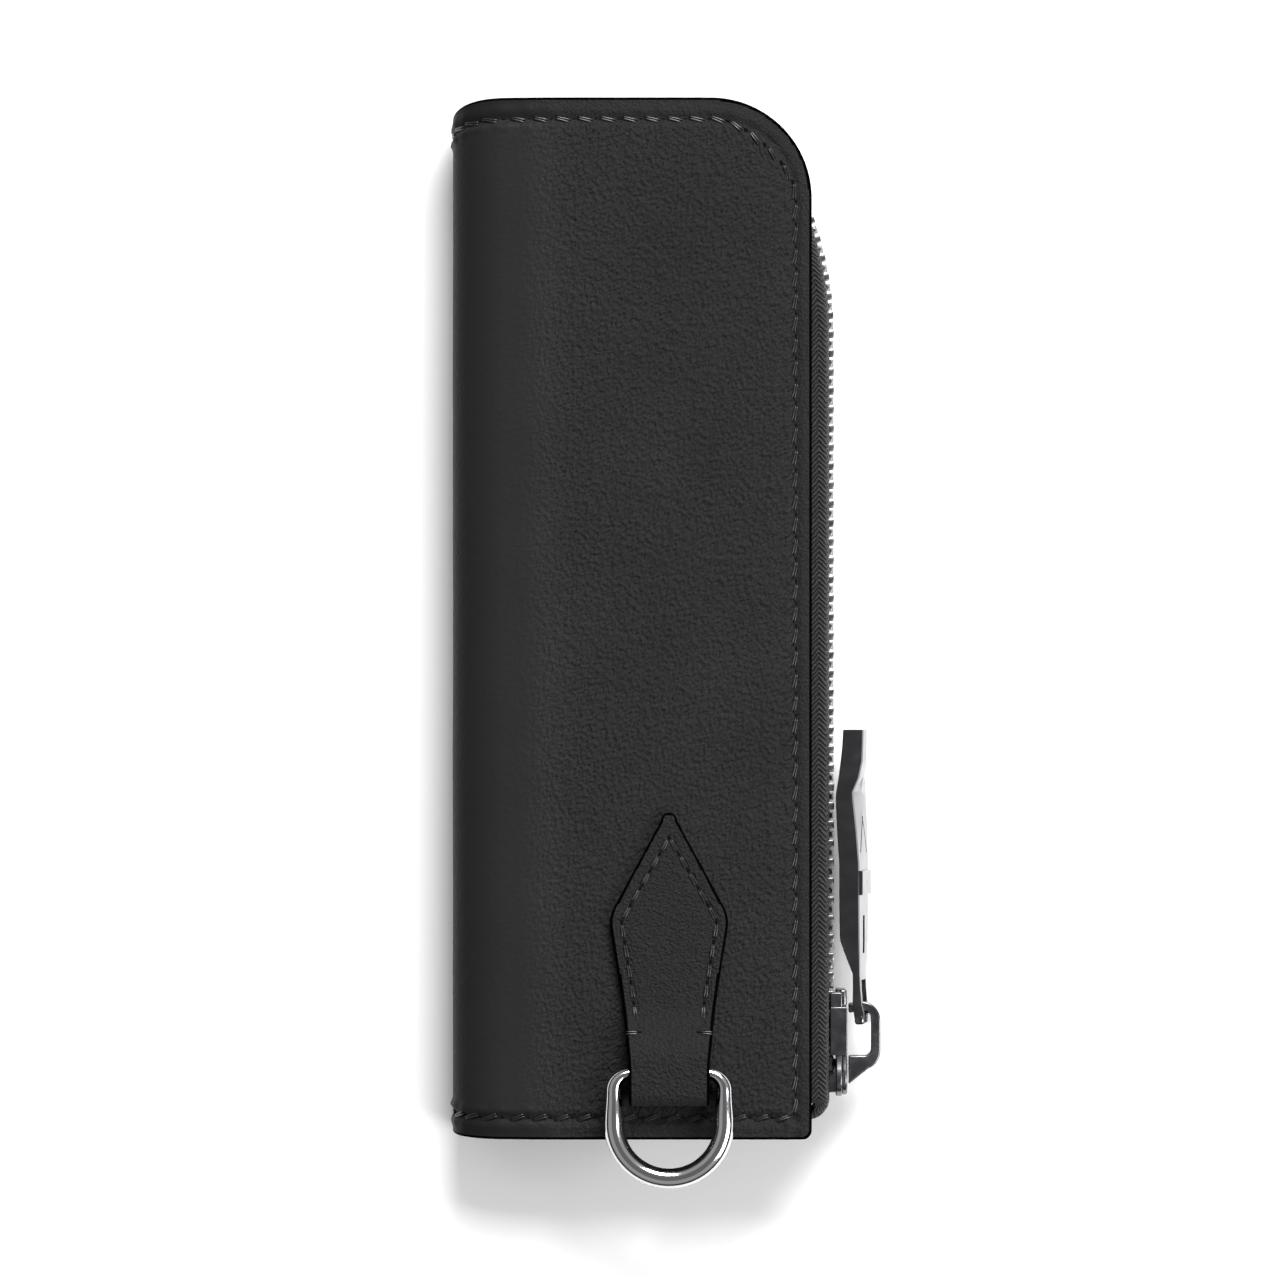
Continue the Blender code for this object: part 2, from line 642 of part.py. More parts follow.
def crown_outline():
    """(x, y) of the crown's D-shaped band, outer side and then inner side."""
    foot_x = PLATE_TOP_X + GAP
    top, low = CROWN_TOP_Y, CROWN_TOP_Y - CROWN_LENGTH
    out_round, in_round = 3.0 * MM, 1.1 * MM
    in_x = CROWN_OUT_X - CROWN_BAND
    shoulder = top - 7.6 * MM
    outer = [(foot_x, low)]
    outer += arc((CROWN_OUT_X - out_round, shoulder), out_round, -math.pi / 3, 0, 4)
    outer += arc((CROWN_OUT_X - out_round, top - out_round), out_round, 0, math.pi / 2, 5)
    outer += [(foot_x, top - 0.3 * MM)]
    inner = [(foot_x, top - CROWN_BAND - 0.3 * MM)]
    inner += list(reversed(arc((in_x - in_round, top - CROWN_BAND - in_round), in_round, 0, math.pi / 2, 4)))
    inner += list(reversed(arc((in_x - in_round, shoulder + 0.4 * MM), in_round, -math.pi / 2, 0, 4)))
    return outer + inner + [(foot_x, shoulder - in_round + 0.4 * MM)]


def slider_crown(finish, parent):
    mesh = outline_mesh("slider_crown", crown_outline(), -CROWN_WIDTH / 2, CROWN_WIDTH / 2)
    mesh.transform(LAY_FLAT)
    add_part("slider_crown", mesh, finish, (PLATE_TOP_X, CROWN_TOP_Y, MID_Z), parent)


def pull_stations():
    """(distance from the pivot, back, face, half width) along the pull; back and face are offsets along x."""
    arms = CROWN_WIDTH / 2 + PULL_SIDE_PLAY + PULL_ARM
    bar = PULL_BAR / 2
    return [
        (-bar, -0.5 * MM, 0.5 * MM, arms - 0.3 * MM),
        (-0.4 * bar, -bar, bar, arms),
        (0.6 * bar, -bar, bar, arms),
        (2.4 * MM, -1.3 * MM, 0.3 * MM, arms),
        (7.3 * MM, -1.7 * MM, 0.0, arms + 0.2 * MM),
        (12.8 * MM, -3.2 * MM, 0.2 * MM, PULL_HALF_WIDTH - 0.3 * MM),
        (23.0 * MM, -3.6 * MM, 0.2 * MM, PULL_HALF_WIDTH),
        (PULL_LENGTH - 10.2 * MM, -3.9 * MM, 0.2 * MM, PULL_HALF_WIDTH - 0.5 * MM),
        (PULL_LENGTH - 5.0 * MM, -3.4 * MM, 0.1 * MM, PULL_HALF_WIDTH - 1.2 * MM),
        (PULL_LENGTH, -2.7 * MM, -0.3 * MM, PULL_HALF_WIDTH - 2.2 * MM),
    ]


def pull_ring(bm, station):
    """Eight points round the pull: a flat face, bevelled sides and a narrower back."""
    along, back, face, half = station
    middle = (back + face) / 2
    bevel = min(0.5 * MM, (face - back) / 4)
    corners = [(face, half - bevel), (face - bevel, half), (middle, half), (back, half * 0.72)]
    corners += [(x, -z) for x, z in reversed(corners)]
    return [bm.verts.new((x, along, z)) for x, z in corners]


def pull_tab(finish, parent):
    """A loft from the crossbar to the free end, with a window that the crown passes through."""
    bm = bmesh.new()
    rings = [pull_ring(bm, station) for station in pull_stations()]
    for first, second in zip(rings, rings[1:]):
        for index in range(8):
            following = (index + 1) % 8
            bm.faces.new((first[index], first[following], second[following], second[index]))
    bm.faces.new(rings[0])
    bm.faces.new(rings[-1])
    place = Matrix.Translation(PULL_PIVOT) @ Matrix.Rotation(-PULL_ROLL, 4, "Y")
    bmesh.ops.transform(bm, matrix=place, verts=bm.verts)
    obj = add_part("pull_tab", mesh_from(bm, "pull_tab"), finish, PULL_PIVOT, parent)
    window = CROWN_WIDTH / 2 + PULL_SIDE_PLAY
    through = PULL_HALF_WIDTH + PULL_BAR
    slot_low, slot_high = PULL_SLOT
    opening = box_mesh("pull_window", (-through, PULL_BAR / 2 + ROOT_FILLET, -window), (through, PULL_WINDOW, window))
    slot = box_mesh("pull_slot", (-PULL_SLOT_FLOOR, slot_low, -PULL_SLOT_HALF), (through, slot_high, PULL_SLOT_HALF))
    for mesh in (opening, slot):
        mesh.transform(place)
        boolean(obj, add_helper(mesh.name, mesh), "DIFFERENCE")


# The D-ring and its tab.


def tab_mid_z(up):
    """The height of the tab's middle layer at a distance up from the strap's fold."""
    rise = smooth((TAB_NECK_Y + 3 * MM - up) / (7 * MM))
    return TAB_REST_Z + (STRAP_Z - TAB_REST_Z) * rise


def tab_half_width(up):
    """Half the tab's width: strap, flare and arrowhead."""
    if up > TAB_TIP_Y - TAB_TIP_RADIUS:
        short = up - (TAB_TIP_Y - TAB_TIP_RADIUS)
        return math.sqrt(max(TAB_TIP_RADIUS**2 - short**2, (0.35 * MM) ** 2))
    if up > TAB_WIDEST_Y:
        share = (up - TAB_WIDEST_Y) / (TAB_TIP_Y - TAB_TIP_RADIUS - TAB_WIDEST_Y)
        return TAB_HALF_WIDTH + (TAB_TIP_RADIUS - TAB_HALF_WIDTH) * share
    if up > TAB_NECK_Y:
        share = (up - TAB_NECK_Y) / (TAB_WIDEST_Y - TAB_NECK_Y)
        return TAB_NECK_HALF_WIDTH + (TAB_HALF_WIDTH - TAB_NECK_HALF_WIDTH) * share**1.15
    share = up / TAB_NECK_Y
    return STRAP_HALF_WIDTH + (TAB_NECK_HALF_WIDTH - STRAP_HALF_WIDTH) * smooth(share * 2 - 1)


def tab_profile():
    """(distance up from the fold, height of the middle, half width) from the arrow's tip round to the hidden end."""
    fold = (STRAP_Z - TAB_REST_Z) / 2
    middle_z = (STRAP_Z + TAB_REST_Z) / 2
    tip = TAB_TIP_Y - TAB_TIP_RADIUS
    ups = [TAB_TIP_Y, TAB_TIP_Y - TAB_TIP_RADIUS * 0.4, tip, (tip + TAB_WIDEST_Y) / 2, TAB_WIDEST_Y + 0.8 * MM,
           TAB_WIDEST_Y - 0.8 * MM, TAB_WIDEST_Y - 8 * MM, TAB_NECK_Y + 3 * MM, TAB_NECK_Y + 1 * MM,
           TAB_NECK_Y - 0.5 * MM, TAB_NECK_Y - 2 * MM, TAB_NECK_Y - 4 * MM, fold + TAB_LEATHER / 2]
    profile = [(up, tab_mid_z(up), tab_half_width(up)) for up in ups]
    centre = fold + TAB_LEATHER / 2
    for y, z in arc((centre, middle_z), fold, math.pi / 2, 3 * math.pi / 2, 8)[1:]:
        profile.append((y, z, STRAP_HALF_WIDTH))
    return profile + [(TAB_RETURN, TAB_REST_Z, STRAP_HALF_WIDTH)]


def ring_tab(finish):
    profile = tab_profile()

    def place(across, index):
        up, z, half = profile[index]
        return Vector((RING_OFFSET + across * half, TAB_FOOT_Y + up, z))

    mesh = sheet_mesh("ring_tab", [-1, -0.5, 0, 0.5, 1], list(range(len(profile))), place)
    thicken(add_part("ring_tab", mesh, finish), TAB_LEATHER, 0)


def d_ring(finish):
    """A bar, two legs and a half-round bow, thin at the bar and thick at the bow."""
    leg = RING_INNER_WIDTH / 2 + RING_BOW / 2
    bow_y = -(RING_HEIGHT - RING_BAR / 2 - RING_BOW / 2 - leg)
    thin, thick = RING_BAR / RING_BOW, 1.0
    half = [(0, 0, thin), ((leg - RING_CORNER) * 0.9, 0, thin)]
    for index, (x, y) in enumerate(arc((leg - RING_CORNER, -RING_CORNER), RING_CORNER, math.pi / 2, 0, 4)):
        half.append((x, y, thin + (thick - thin) * 0.12 * index))
    half.append((leg, (bow_y - RING_CORNER) / 2, thin + (thick - thin) * 0.8))
    half += [(x, y, thick) for x, y in arc((0, bow_y), leg, 0, -math.pi / 2, 8)]
    points = half + [(-x, y, r) for x, y, r in reversed(half[1:-1])]
    places = [RING_PIVOT + Vector((x, y, 0)) for x, y, _ in points]
    parent = empty("ring_axis", RING_PIVOT)
    tube("d_ring", places, finish, RING_BOW, [r for _, _, r in points], closed=True, sides=2,
         origin=RING_PIVOT, parent=parent)


# The sewing.


def thread(name, points, finish):
    tube(name, points, finish, THREAD, sides=0)


def seam_height(side):
    return MID_Z + side * (BORDER_HALF + THREAD_LIFT + THREAD / 2)


def long_seam(name, side, finish):
    """Along the top from the spine, round the corner and down beside the zip."""
    z = seam_height(side)
    inset_radius = CORNER_RADIUS - SEAM_INSET
    centre = (RIGHT - CORNER_RADIUS, TOP - CORNER_RADIUS)
    points = [(SPINE_X + SEAM_START, TOP - SEAM_INSET), (centre[0] / 2 + SPINE_X / 2, TOP - SEAM_INSET)]
    points += list(reversed(arc(centre, inset_radius, math.radians(12), math.pi / 2, 9)))
    side_x = RIGHT - SEAM_SIDE_INSET
    points += [(side_x, centre[1] - 4 * MM), (side_x, 0.0), (side_x, FOOT + SEAM_INSET + 1 * MM)]
    thread(name, [(x, y, z) for x, y in points], finish)


def bottom_seam(name, side, finish):
    z = seam_height(side)
    y = FOOT + SEAM_INSET
    ends = (SPINE_X + SEAM_START, RIGHT - SEAM_SIDE_INSET)
    thread(name, [(ends[0], y, z), (sum(ends) / 2, y, z), (ends[1], y, z)], finish)


def tab_seam(finish):
    """Round the arrow, a little inside its edge."""
    lift = TAB_LEATHER / 2 + THREAD_LIFT + THREAD
    apex = TAB_TIP_Y - 3.9 * MM
    ups = [apex, (apex + TAB_WIDEST_Y) / 2, TAB_WIDEST_Y - 0.7 * MM, TAB_WIDEST_Y - 8 * MM,
           TAB_NECK_Y + 3 * MM, TAB_NECK_Y + 1.3 * MM]
    side = []
    for index, up in enumerate(ups):
        half = 0.0 if index == 0 else tab_half_width(up) - TAB_SEAM_INSET
        side.append((half, up))
    points = [(-x, up) for x, up in reversed(side)] + side[1:]
    thread("seam_tab", [(RING_OFFSET + x, TAB_FOOT_Y + up, tab_mid_z(up) + lift) for x, up in points], finish)


def tacks(finish):
    lift = TAB_LEATHER / 2 + THREAD_LIFT + THREAD
    for name, side in (("tack_left", -1), ("tack_right", 1)):
        up = TAB_NECK_Y - 0.3 * MM
        outer = tab_half_width(up)
        z = tab_mid_z(up) + lift
        xs = (outer, outer - TACK / 2, outer - TACK)
        thread(name, [(RING_OFFSET + side * x, TAB_FOOT_Y + up, z) for x in xs], finish)


def main():
    global part_collection, helper_collection
    clear_scene()
    part_collection = new_collection("fountain_pen_case")
    helper_collection = new_collection("cutters")
    helper_collection.hide_render = True

    calf = material("black_calf", (0.03, 0.03, 0.032), 0.5)
    leather_shell(calf)
    ring_tab(material("tab_calf", (0.035, 0.035, 0.037), 0.45))
    end_walls(material("wall_calf", (0.025, 0.025, 0.026), 0.55))
    lining(material("lining_skin", (0.02, 0.02, 0.022), 0.8))
    stiff = material("bonded_board", (0.25, 0.18, 0.12), 0.9)
    board("front_board", 1, stiff)
    board("back_board", -1, stiff)

    woven = material("woven_tape", (0.02, 0.02, 0.02), 0.85)
    tape("zip_tape_front", 1, woven)
    tape("zip_tape_back", -1, woven)
    steel = material("tooth_metal", (0.75, 0.75, 0.76), 0.2, 1.0)
    teeth("zip_teeth_front", 1, steel)
    teeth("zip_teeth_back", -1, steel)
    zip_stops(steel)

    plated = material("plated_metal", (0.62, 0.62, 0.64), 0.15, 1.0)
    slider_axis = empty("slider_travel", (CHAIN_X, (SLIDER_MOUTH_Y + SLIDER_TAIL_Y) / 2, MID_Z))
    slider_body(plated, slider_axis)
    slider_crown(plated, slider_axis)
    pull_axis = empty("pull_axis", PULL_PIVOT)
    pull_tab(material("pull_metal", (0.6, 0.6, 0.62), 0.12, 1.0), pull_axis)
    d_ring(material("ring_metal", (0.75, 0.75, 0.76), 0.1, 1.0))

    waxed = material("waxed_thread", (0.015, 0.015, 0.015), 0.35)
    for word, side in (("front", 1), ("back", -1)):
        long_seam("seam_%s_long" % word, side, waxed)
        bottom_seam("seam_%s_bottom" % word, side, waxed)
    tab_seam(waxed)
    tacks(waxed)


main()
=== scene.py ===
"""A slim leather pen case with a side zip: the finished pieces, built round the case's fixed frame.

Lengths are in metres. +X runs from the spine to the zip, +Y along the case to its rounded corner, and +Z from
its back to its front.
"""
import json
import math

import bpy
from mathutils import Matrix, Vector, noise


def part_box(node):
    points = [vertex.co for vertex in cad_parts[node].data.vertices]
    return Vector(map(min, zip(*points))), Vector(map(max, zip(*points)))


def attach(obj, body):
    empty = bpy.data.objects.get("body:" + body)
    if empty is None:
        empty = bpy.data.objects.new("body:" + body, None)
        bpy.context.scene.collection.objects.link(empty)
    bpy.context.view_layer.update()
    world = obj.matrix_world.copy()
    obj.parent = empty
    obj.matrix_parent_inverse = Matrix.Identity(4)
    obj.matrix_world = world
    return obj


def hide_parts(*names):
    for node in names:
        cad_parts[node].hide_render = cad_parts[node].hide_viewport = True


bl_info = {
    "name": "Leather pen case",
    "version": (1, 0, 0),
    "blender": (4, 5, 0),
    "location": "3D View > Sidebar > Pen case",
    "description": "Makes the leather, sewing, zip and metalwork of a slim pen case",
    "category": "Add Mesh",
}

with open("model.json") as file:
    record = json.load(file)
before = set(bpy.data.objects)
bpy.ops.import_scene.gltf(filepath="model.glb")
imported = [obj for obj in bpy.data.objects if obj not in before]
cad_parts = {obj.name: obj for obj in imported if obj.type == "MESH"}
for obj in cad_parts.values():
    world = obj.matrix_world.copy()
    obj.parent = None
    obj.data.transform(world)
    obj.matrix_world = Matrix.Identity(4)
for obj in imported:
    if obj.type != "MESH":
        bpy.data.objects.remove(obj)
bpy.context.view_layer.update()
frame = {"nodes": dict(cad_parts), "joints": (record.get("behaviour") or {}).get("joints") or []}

MM = 0.001

# The case's own places, from the frame.
SHELL_LOW, SHELL_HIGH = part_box("leather_shell")
RIGHT = SHELL_HIGH.x
FOOT, TOP = SHELL_LOW.y, SHELL_HIGH.y
MID_Z = (SHELL_LOW.z + SHELL_HIGH.z) / 2
HALF_DEPTH = (SHELL_HIGH.z - SHELL_LOW.z) / 2
SPINE_X = SHELL_LOW.x + HALF_DEPTH
SPINE_TURN = HALF_DEPTH * math.pi / 2
PANEL_END = SPINE_TURN + RIGHT - SPINE_X

# The leather and how it is shaped.
LEATHER = 1.3 * MM
CORNER = 16 * MM
FOOT_CORNER = 1.5 * MM
BORDER_DROP = 0.6 * MM      # how far the pressed border lies below the field
BORDER_START = 2.7 * MM     # from the cut edge in to where it starts to rise
BORDER_RUN = 3.6 * MM
SPINE_DIP_TOP = 3.0 * MM    # how far the cut ends draw in at the spine
SPINE_DIP_FOOT = 0.8 * MM
DIP_RUN = 20 * MM
EDGE_ROUND = 0.42 * MM
ROLL_DROP = 1.7 * MM        # how far the front sinks at the soft roll of the spine
ROLL_SHOULDER = 0.76        # below 1 the roll is squarer than a circle
ROLL_RUN = 14 * MM
SEAM_SIDE = 2.7 * MM        # from the cut edge in to the stitches, by the zip
SEAM_END = 3.5 * MM         # and at both ends
PAINTED_WIDTH = 0.5 * MM
FACE, EDGE, PRESSED = 0, 1, 2   # the order of a sheet's finishes

# The zip.
STOP_LOW, STOP_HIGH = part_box("zip_stop_front")
CHAIN_X = (STOP_LOW.x + STOP_HIGH.x) / 2
CHAIN_TURN_Y = TOP - 36.9 * MM
CHAIN_TURN_RADIUS = 51 * MM
TOOTH_PITCH = 3.0 * MM
TAPE = 0.5 * MM
TAPE_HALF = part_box("zip_tape_front")[1].z - MID_Z - TAPE / 2
TAPE_BEND = 1.3 * MM
TAPE_CURL = 3.0 * MM
TAPE_TURN_IN_X = RIGHT - 6.5 * MM

# The slider, its crown and the pull.
SLIDER_LOW, SLIDER_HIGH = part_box("slider_body")
CROWN_LOW, CROWN_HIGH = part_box("slider_crown")
JOINTS = {joint["name"]: joint for joint in frame["joints"]}
PULL_PIVOT = Vector(JOINTS["pull"]["pos_m"])
PULL_ROLL = math.radians(11)

# The D-ring and its tab.
RING_PIVOT = Vector(JOINTS["ring"]["pos_m"])
RING_LOW, RING_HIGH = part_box("d_ring")
RING_BAR = 1.9 * MM
RING_BOW = RING_HIGH.z - RING_LOW.z
RING_CORNER = 2.6 * MM
TAB_LOW, TAB_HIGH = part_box("ring_tab")
TAB_X = (TAB_LOW.x + TAB_HIGH.x) / 2
TAB_LEATHER = 1.1 * MM
TAB_TIP = TAB_HIGH.y - TAB_LOW.y
TAB_HALF = (TAB_HIGH.x - TAB_LOW.x) / 2
TAB_NECK_HALF = 6.9 * MM
STRAP_HALF = 6.35 * MM
TAB_NECK = 11.9 * MM
TAB_WIDEST = 29.8 * MM
TAB_POINT = 1.3 * MM
TAB_RETURN = 11 * MM
TAB_REST_Z = TAB_LOW.z + TAB_LEATHER / 2
STRAP_Z = TAB_HIGH.z - TAB_LEATHER / 2


def smooth(value):
    """Eases from 0 to 1."""
    value = min(max(value, 0.0), 1.0)
    return value * value * (3 - 2 * value)


def hump(distance, width):
    """1 at no distance, easing to 0 a few widths away."""
    return math.exp(-((distance / width) ** 2))


def spaced(start, end, step):
    """Even places from start to end, about a step apart, both ends included."""
    count = max(round(abs(end - start) / step), 1)
    return [start + (end - start) * k / count for k in range(count + 1)]


def in_order(*runs):
    """All the places of several runs in order, without repeats."""
    kept = []
    for place in sorted(sum(runs, [])):
        if not kept or place - kept[-1] > 0.01 * MM:
            kept.append(place)
    return kept


def arc(centre, radius, start, end, steps):
    """Points on an arc, with its angles in degrees, both ends included."""
    turns = [math.radians(start + (end - start) * k / steps) for k in range(steps + 1)]
    return [(centre[0] + radius * math.cos(t), centre[1] + radius * math.sin(t)) for t in turns]


# Sizes and colours that a user would change.


def linear(code):
    """A hex sRGB colour as linear red, green, blue and alpha."""
    parts = [int(code[k:k + 2], 16) / 255 for k in (1, 3, 5)]
    return [p / 12.92 if p <= 0.04045 else ((p + 0.055) / 1.055) ** 2.4 for p in parts] + [1.0]


def colour_property(name, description, code):
    return bpy.props.FloatVectorProperty(
        name=name, description=description, subtype="COLOR", size=4, min=0, max=1, default=linear(code))


def length_property(name, description, default):
    return bpy.props.FloatProperty(name=name, description=description, unit="LENGTH", default=default)


class PenCaseSizes(bpy.types.PropertyGroup):
    stitch_pitch: length_property("Stitch pitch", "From one needle hole to the next", 3.54 * MM)
    thread: length_property("Thread", "Thickness of one ply of the thread", 0.4 * MM)
    groove: length_property("Seam groove", "How deep the thread pulls the leather in", 0.38 * MM)
    pucker: length_property("Pucker", "How high the leather swells between stitches", 0.4 * MM)
    grain: length_property("Grain", "Width of one pebble of the calf's grain", 0.44 * MM)
    weave: length_property("Weave", "Width of one zigzag column of the tape", 1.1 * MM)
    yarn: length_property("Yarn", "Spacing of the tape's yarns", 0.8 * MM)


class PenCaseColours(bpy.types.PropertyGroup):
    calf: colour_property("Calf", "Dyed calf leather", "#262627")
    edge_paint: colour_property("Edge paint", "Paint on the leather's cut edges", "#030303")
    lining: colour_property("Lining", "Thin lining skin", "#1b1b1c")
    board: colour_property("Board", "Bonded fibre board", "#6b5a48")
    tape: colour_property("Tape", "Woven zip tape", "#1b1b1c")
    thread: colour_property("Thread", "Waxed thread", "#141414")
    nickel: colour_property("Nickel", "Bright nickel plate", "#d2d2d4")
    teeth: colour_property("Teeth", "Tumbled nickel silver", "#747476")
    pull: colour_property("Pull", "Plated pull, a little smoky", "#6f6f72")
    cast: colour_property("Cast metal", "Plated cast metal, a little darker", "#737376")
    floor: colour_property("Floor", "Studio floor", "#f4f4f4")


def sizes():
    return bpy.context.scene.pen_case_sizes


def colours():
    return bpy.context.scene.pen_case_colours


# Materials. Every pattern reads lengths in metres, from a piece's own map or from its place.

# How many lumps of each pattern lie in a metre.
DYE_PATCHES = 60.0      # cloudy dye, 17 mm apart
PAINT_COATS = 900.0     # brush marks, 1.1 mm
LINING_NAP = 2600.0     # tufts of nap, 0.4 mm
BOARD_FLECKS = 1400.0   # flecks of fibre, 0.7 mm
YARN_DRIFT = 900.0      # unevenness of the weave, 1.1 mm
YARN_FIBRES = 2800.0    # fibres in a yarn, 0.36 mm
THREAD_FIBRES = 4200.0  # fibres in a thread, 0.24 mm
TORN_FIBRES = 5000.0    # torn edge of a hole, 0.2 mm
HAIRLINES = 9000.0      # handling scratches, 0.11 mm
METAL_CLOUDS = 420.0    # dull patches, 2.4 mm
PAPER_TOOTH = 1500.0    # paper's tooth, 0.7 mm

# A colour mix's sockets by place, because its plain and vector ones share their names.
MIX_FIRST, MIX_SECOND, MIX_COLOUR = 6, 7, 2


def new_material(name):
    material = bpy.data.materials.new(name)
    material.use_nodes = True
    material.node_tree.nodes.clear()
    return material.node_tree


def add_node(tree, kind, inputs=None, **settings):
    """Adds a node with its settings. An input is a value, an output, or a node, for its first output."""
    made = tree.nodes.new("ShaderNode" + kind)
    for name, value in settings.items():
        setattr(made, name, value)
    for key, value in (inputs or {}).items():
        if isinstance(value, bpy.types.Node):
            value = value.outputs[0]
        if isinstance(value, bpy.types.NodeSocket):
            tree.links.new(value, made.inputs[key])
        else:
            made.inputs[key].default_value = value
    return made


def finish_surface(tree, inputs, base, normal):
    """Ends a material in its shader; base is a colour mix or a plain colour."""
    if isinstance(base, bpy.types.Node):
        base = base.outputs[MIX_COLOUR]
    shader = add_node(tree, "BsdfPrincipled", {"Base Color": base, **inputs, "Normal": normal})
    add_node(tree, "OutputMaterial", {"Surface": shader})
    return next(m for m in bpy.data.materials if m.node_tree == tree)


def shaded(colour, factor):
    return [channel * factor for channel in colour[:3]] + [1.0]


def calf_leather(name, pebble, stretch, angle, shine, depth, relief_strength, smooth_from, fold_depth=1.0):
    """Aniline calf, drum dyed and lightly plated: a dark, soft sheen, broken by a fine grain lying one way.

    The grain fades out within smooth_from of the fold, where the skin is stretched; fold_depth is how dark
    the colour is painted near the fold, a painted shade for the spine's roll, which turns away from the
    light.
    """
    tree = new_material(name)
    tint = colours().calf
    flat = add_node(tree, "UVMap", uv_map="flat_cut")
    lie = add_node(tree, "Mapping", {"Vector": flat, "Rotation": (0, 0, math.radians(angle)),
                                     "Scale": (stretch, 1, 1)}, vector_type="TEXTURE")
    grain = add_node(tree, "TexVoronoi", {"Vector": lie, "Scale": 1 / pebble, "Randomness": 1.0},
                     feature="SMOOTH_F1")
    creases = add_node(tree, "TexNoise", {"Vector": lie, "Scale": 1.2 / pebble, "Detail": 4.0,
                                          "Roughness": 0.6, "Distortion": 0.4})
    pores = add_node(tree, "TexNoise", {"Vector": flat, "Scale": 3.2 / pebble, "Detail": 2.0})
    patches = add_node(tree, "TexNoise", {"Vector": flat, "Scale": DYE_PATCHES, "Detail": 3.0})
    relief = add_node(tree, "Math", {0: grain, 1: creases}, operation="ADD")
    round_fold = add_node(tree, "SeparateXYZ", {0: flat})
    from_fold = add_node(tree, "Math", {0: round_fold}, operation="ABSOLUTE")
    pull_out = add_node(tree, "MapRange", {"Value": from_fold, "From Min": smooth_from,
                                           "From Max": smooth_from + 11 * MM,
                                           "To Min": 0.15 * relief_strength, "To Max": relief_strength},
                        interpolation_type="SMOOTHSTEP")
    coarse = add_node(tree, "Bump", {"Height": relief, "Strength": pull_out, "Distance": 0.6 * MM})
    fine = add_node(tree, "Bump", {"Height": pores, "Strength": 0.35, "Distance": 0.03 * MM,
                                   "Normal": coarse})
    worn = add_node(tree, "MapRange", {"Value": patches, "From Min": 0.3, "From Max": 0.7,
                                       "To Min": 0.0, "To Max": 1.0})
    rough = add_node(tree, "MapRange", {"Value": creases, "From Min": 0.3, "From Max": 0.7,
                                        "To Min": shine - 0.05, "To Max": shine + 0.08})
    dyed = add_node(tree, "Mix", {"Factor": worn, MIX_FIRST: shaded(tint, 0.92 * depth),
                                  MIX_SECOND: shaded(tint, 1.08 * depth)}, data_type="RGBA")
    # Painted shade: the colour darkens towards the fold, over the spine's roll, which turns away from the
    # light.
    fold_shade_fade = add_node(tree, "MapRange", {"Value": from_fold, "From Min": 4 * MM, "From Max": 24 * MM,
                                           "To Min": 0.0, "To Max": 1.0})
    base = add_node(tree, "Mix", {"Factor": fold_shade_fade, MIX_FIRST: shaded(tint, fold_depth * depth),
                                  MIX_SECOND: dyed.outputs[MIX_COLOUR]}, data_type="RGBA")
    return finish_surface(tree, {"Roughness": rough, "IOR": 1.48, "Specular IOR Level": 0.08}, base, fine)


def edge_dye():
    """Acrylic edge paint, brushed on the cut edge in coats: near black, half gloss, a little uneven."""
    tree = new_material("painted_edge")
    tint = colours().edge_paint
    place = add_node(tree, "TexCoord")
    coats = add_node(tree, "TexNoise", {"Vector": place.outputs["Object"], "Scale": PAINT_COATS,
                                        "Detail": 3.0})
    bump = add_node(tree, "Bump", {"Height": coats, "Strength": 0.3, "Distance": 0.05 * MM})
    rough = add_node(tree, "MapRange", {"Value": coats, "To Min": 0.34, "To Max": 0.5})
    base = add_node(tree, "Mix", {"Factor": coats, MIX_FIRST: shaded(tint, 0.8),
                                  MIX_SECOND: shaded(tint, 1.3)}, data_type="RGBA")
    return finish_surface(tree, {"Roughness": rough, "IOR": 1.49, "Specular IOR Level": 0.0}, base, bump)


def lining_skin():
    """Split lamb lining, buffed: matt, with a short soft nap and no clear grain."""
    tree = new_material("buffed_lining_skin")
    tint = colours().lining
    flat = add_node(tree, "UVMap", uv_map="flat_cut")
    nap = add_node(tree, "TexNoise", {"Vector": flat, "Scale": LINING_NAP, "Detail": 4.0})
    bump = add_node(tree, "Bump", {"Height": nap, "Strength": 0.4, "Distance": 0.04 * MM})
    base = add_node(tree, "Mix", {"Factor": nap, MIX_FIRST: shaded(tint, 0.75),
                                  MIX_SECOND: shaded(tint, 1.3)}, data_type="RGBA")
    rough = add_node(tree, "MapRange", {"Value": nap, "To Min": 0.75, "To Max": 0.92})
    return finish_surface(tree, {"Roughness": rough, "Sheen Weight": 0.15}, base, bump)


def fibre_board():
    """Bonded leather-fibre board, pressed: short flecks of fibre in a flat brown sheet."""
    tree = new_material("bonded_fibre_board")
    tint = colours().board
    place = add_node(tree, "TexCoord")
    flecks = add_node(tree, "TexNoise", {"Vector": place.outputs["Object"], "Scale": BOARD_FLECKS,
                                         "Detail": 5.0, "Distortion": 1.5})
    bump = add_node(tree, "Bump", {"Height": flecks, "Strength": 0.3, "Distance": 0.05 * MM})
    base = add_node(tree, "Mix", {"Factor": flecks, MIX_FIRST: shaded(tint, 0.7),
                                  MIX_SECOND: shaded(tint, 1.25)}, data_type="RGBA")
    return finish_surface(tree, {"Roughness": 0.85}, base, bump)


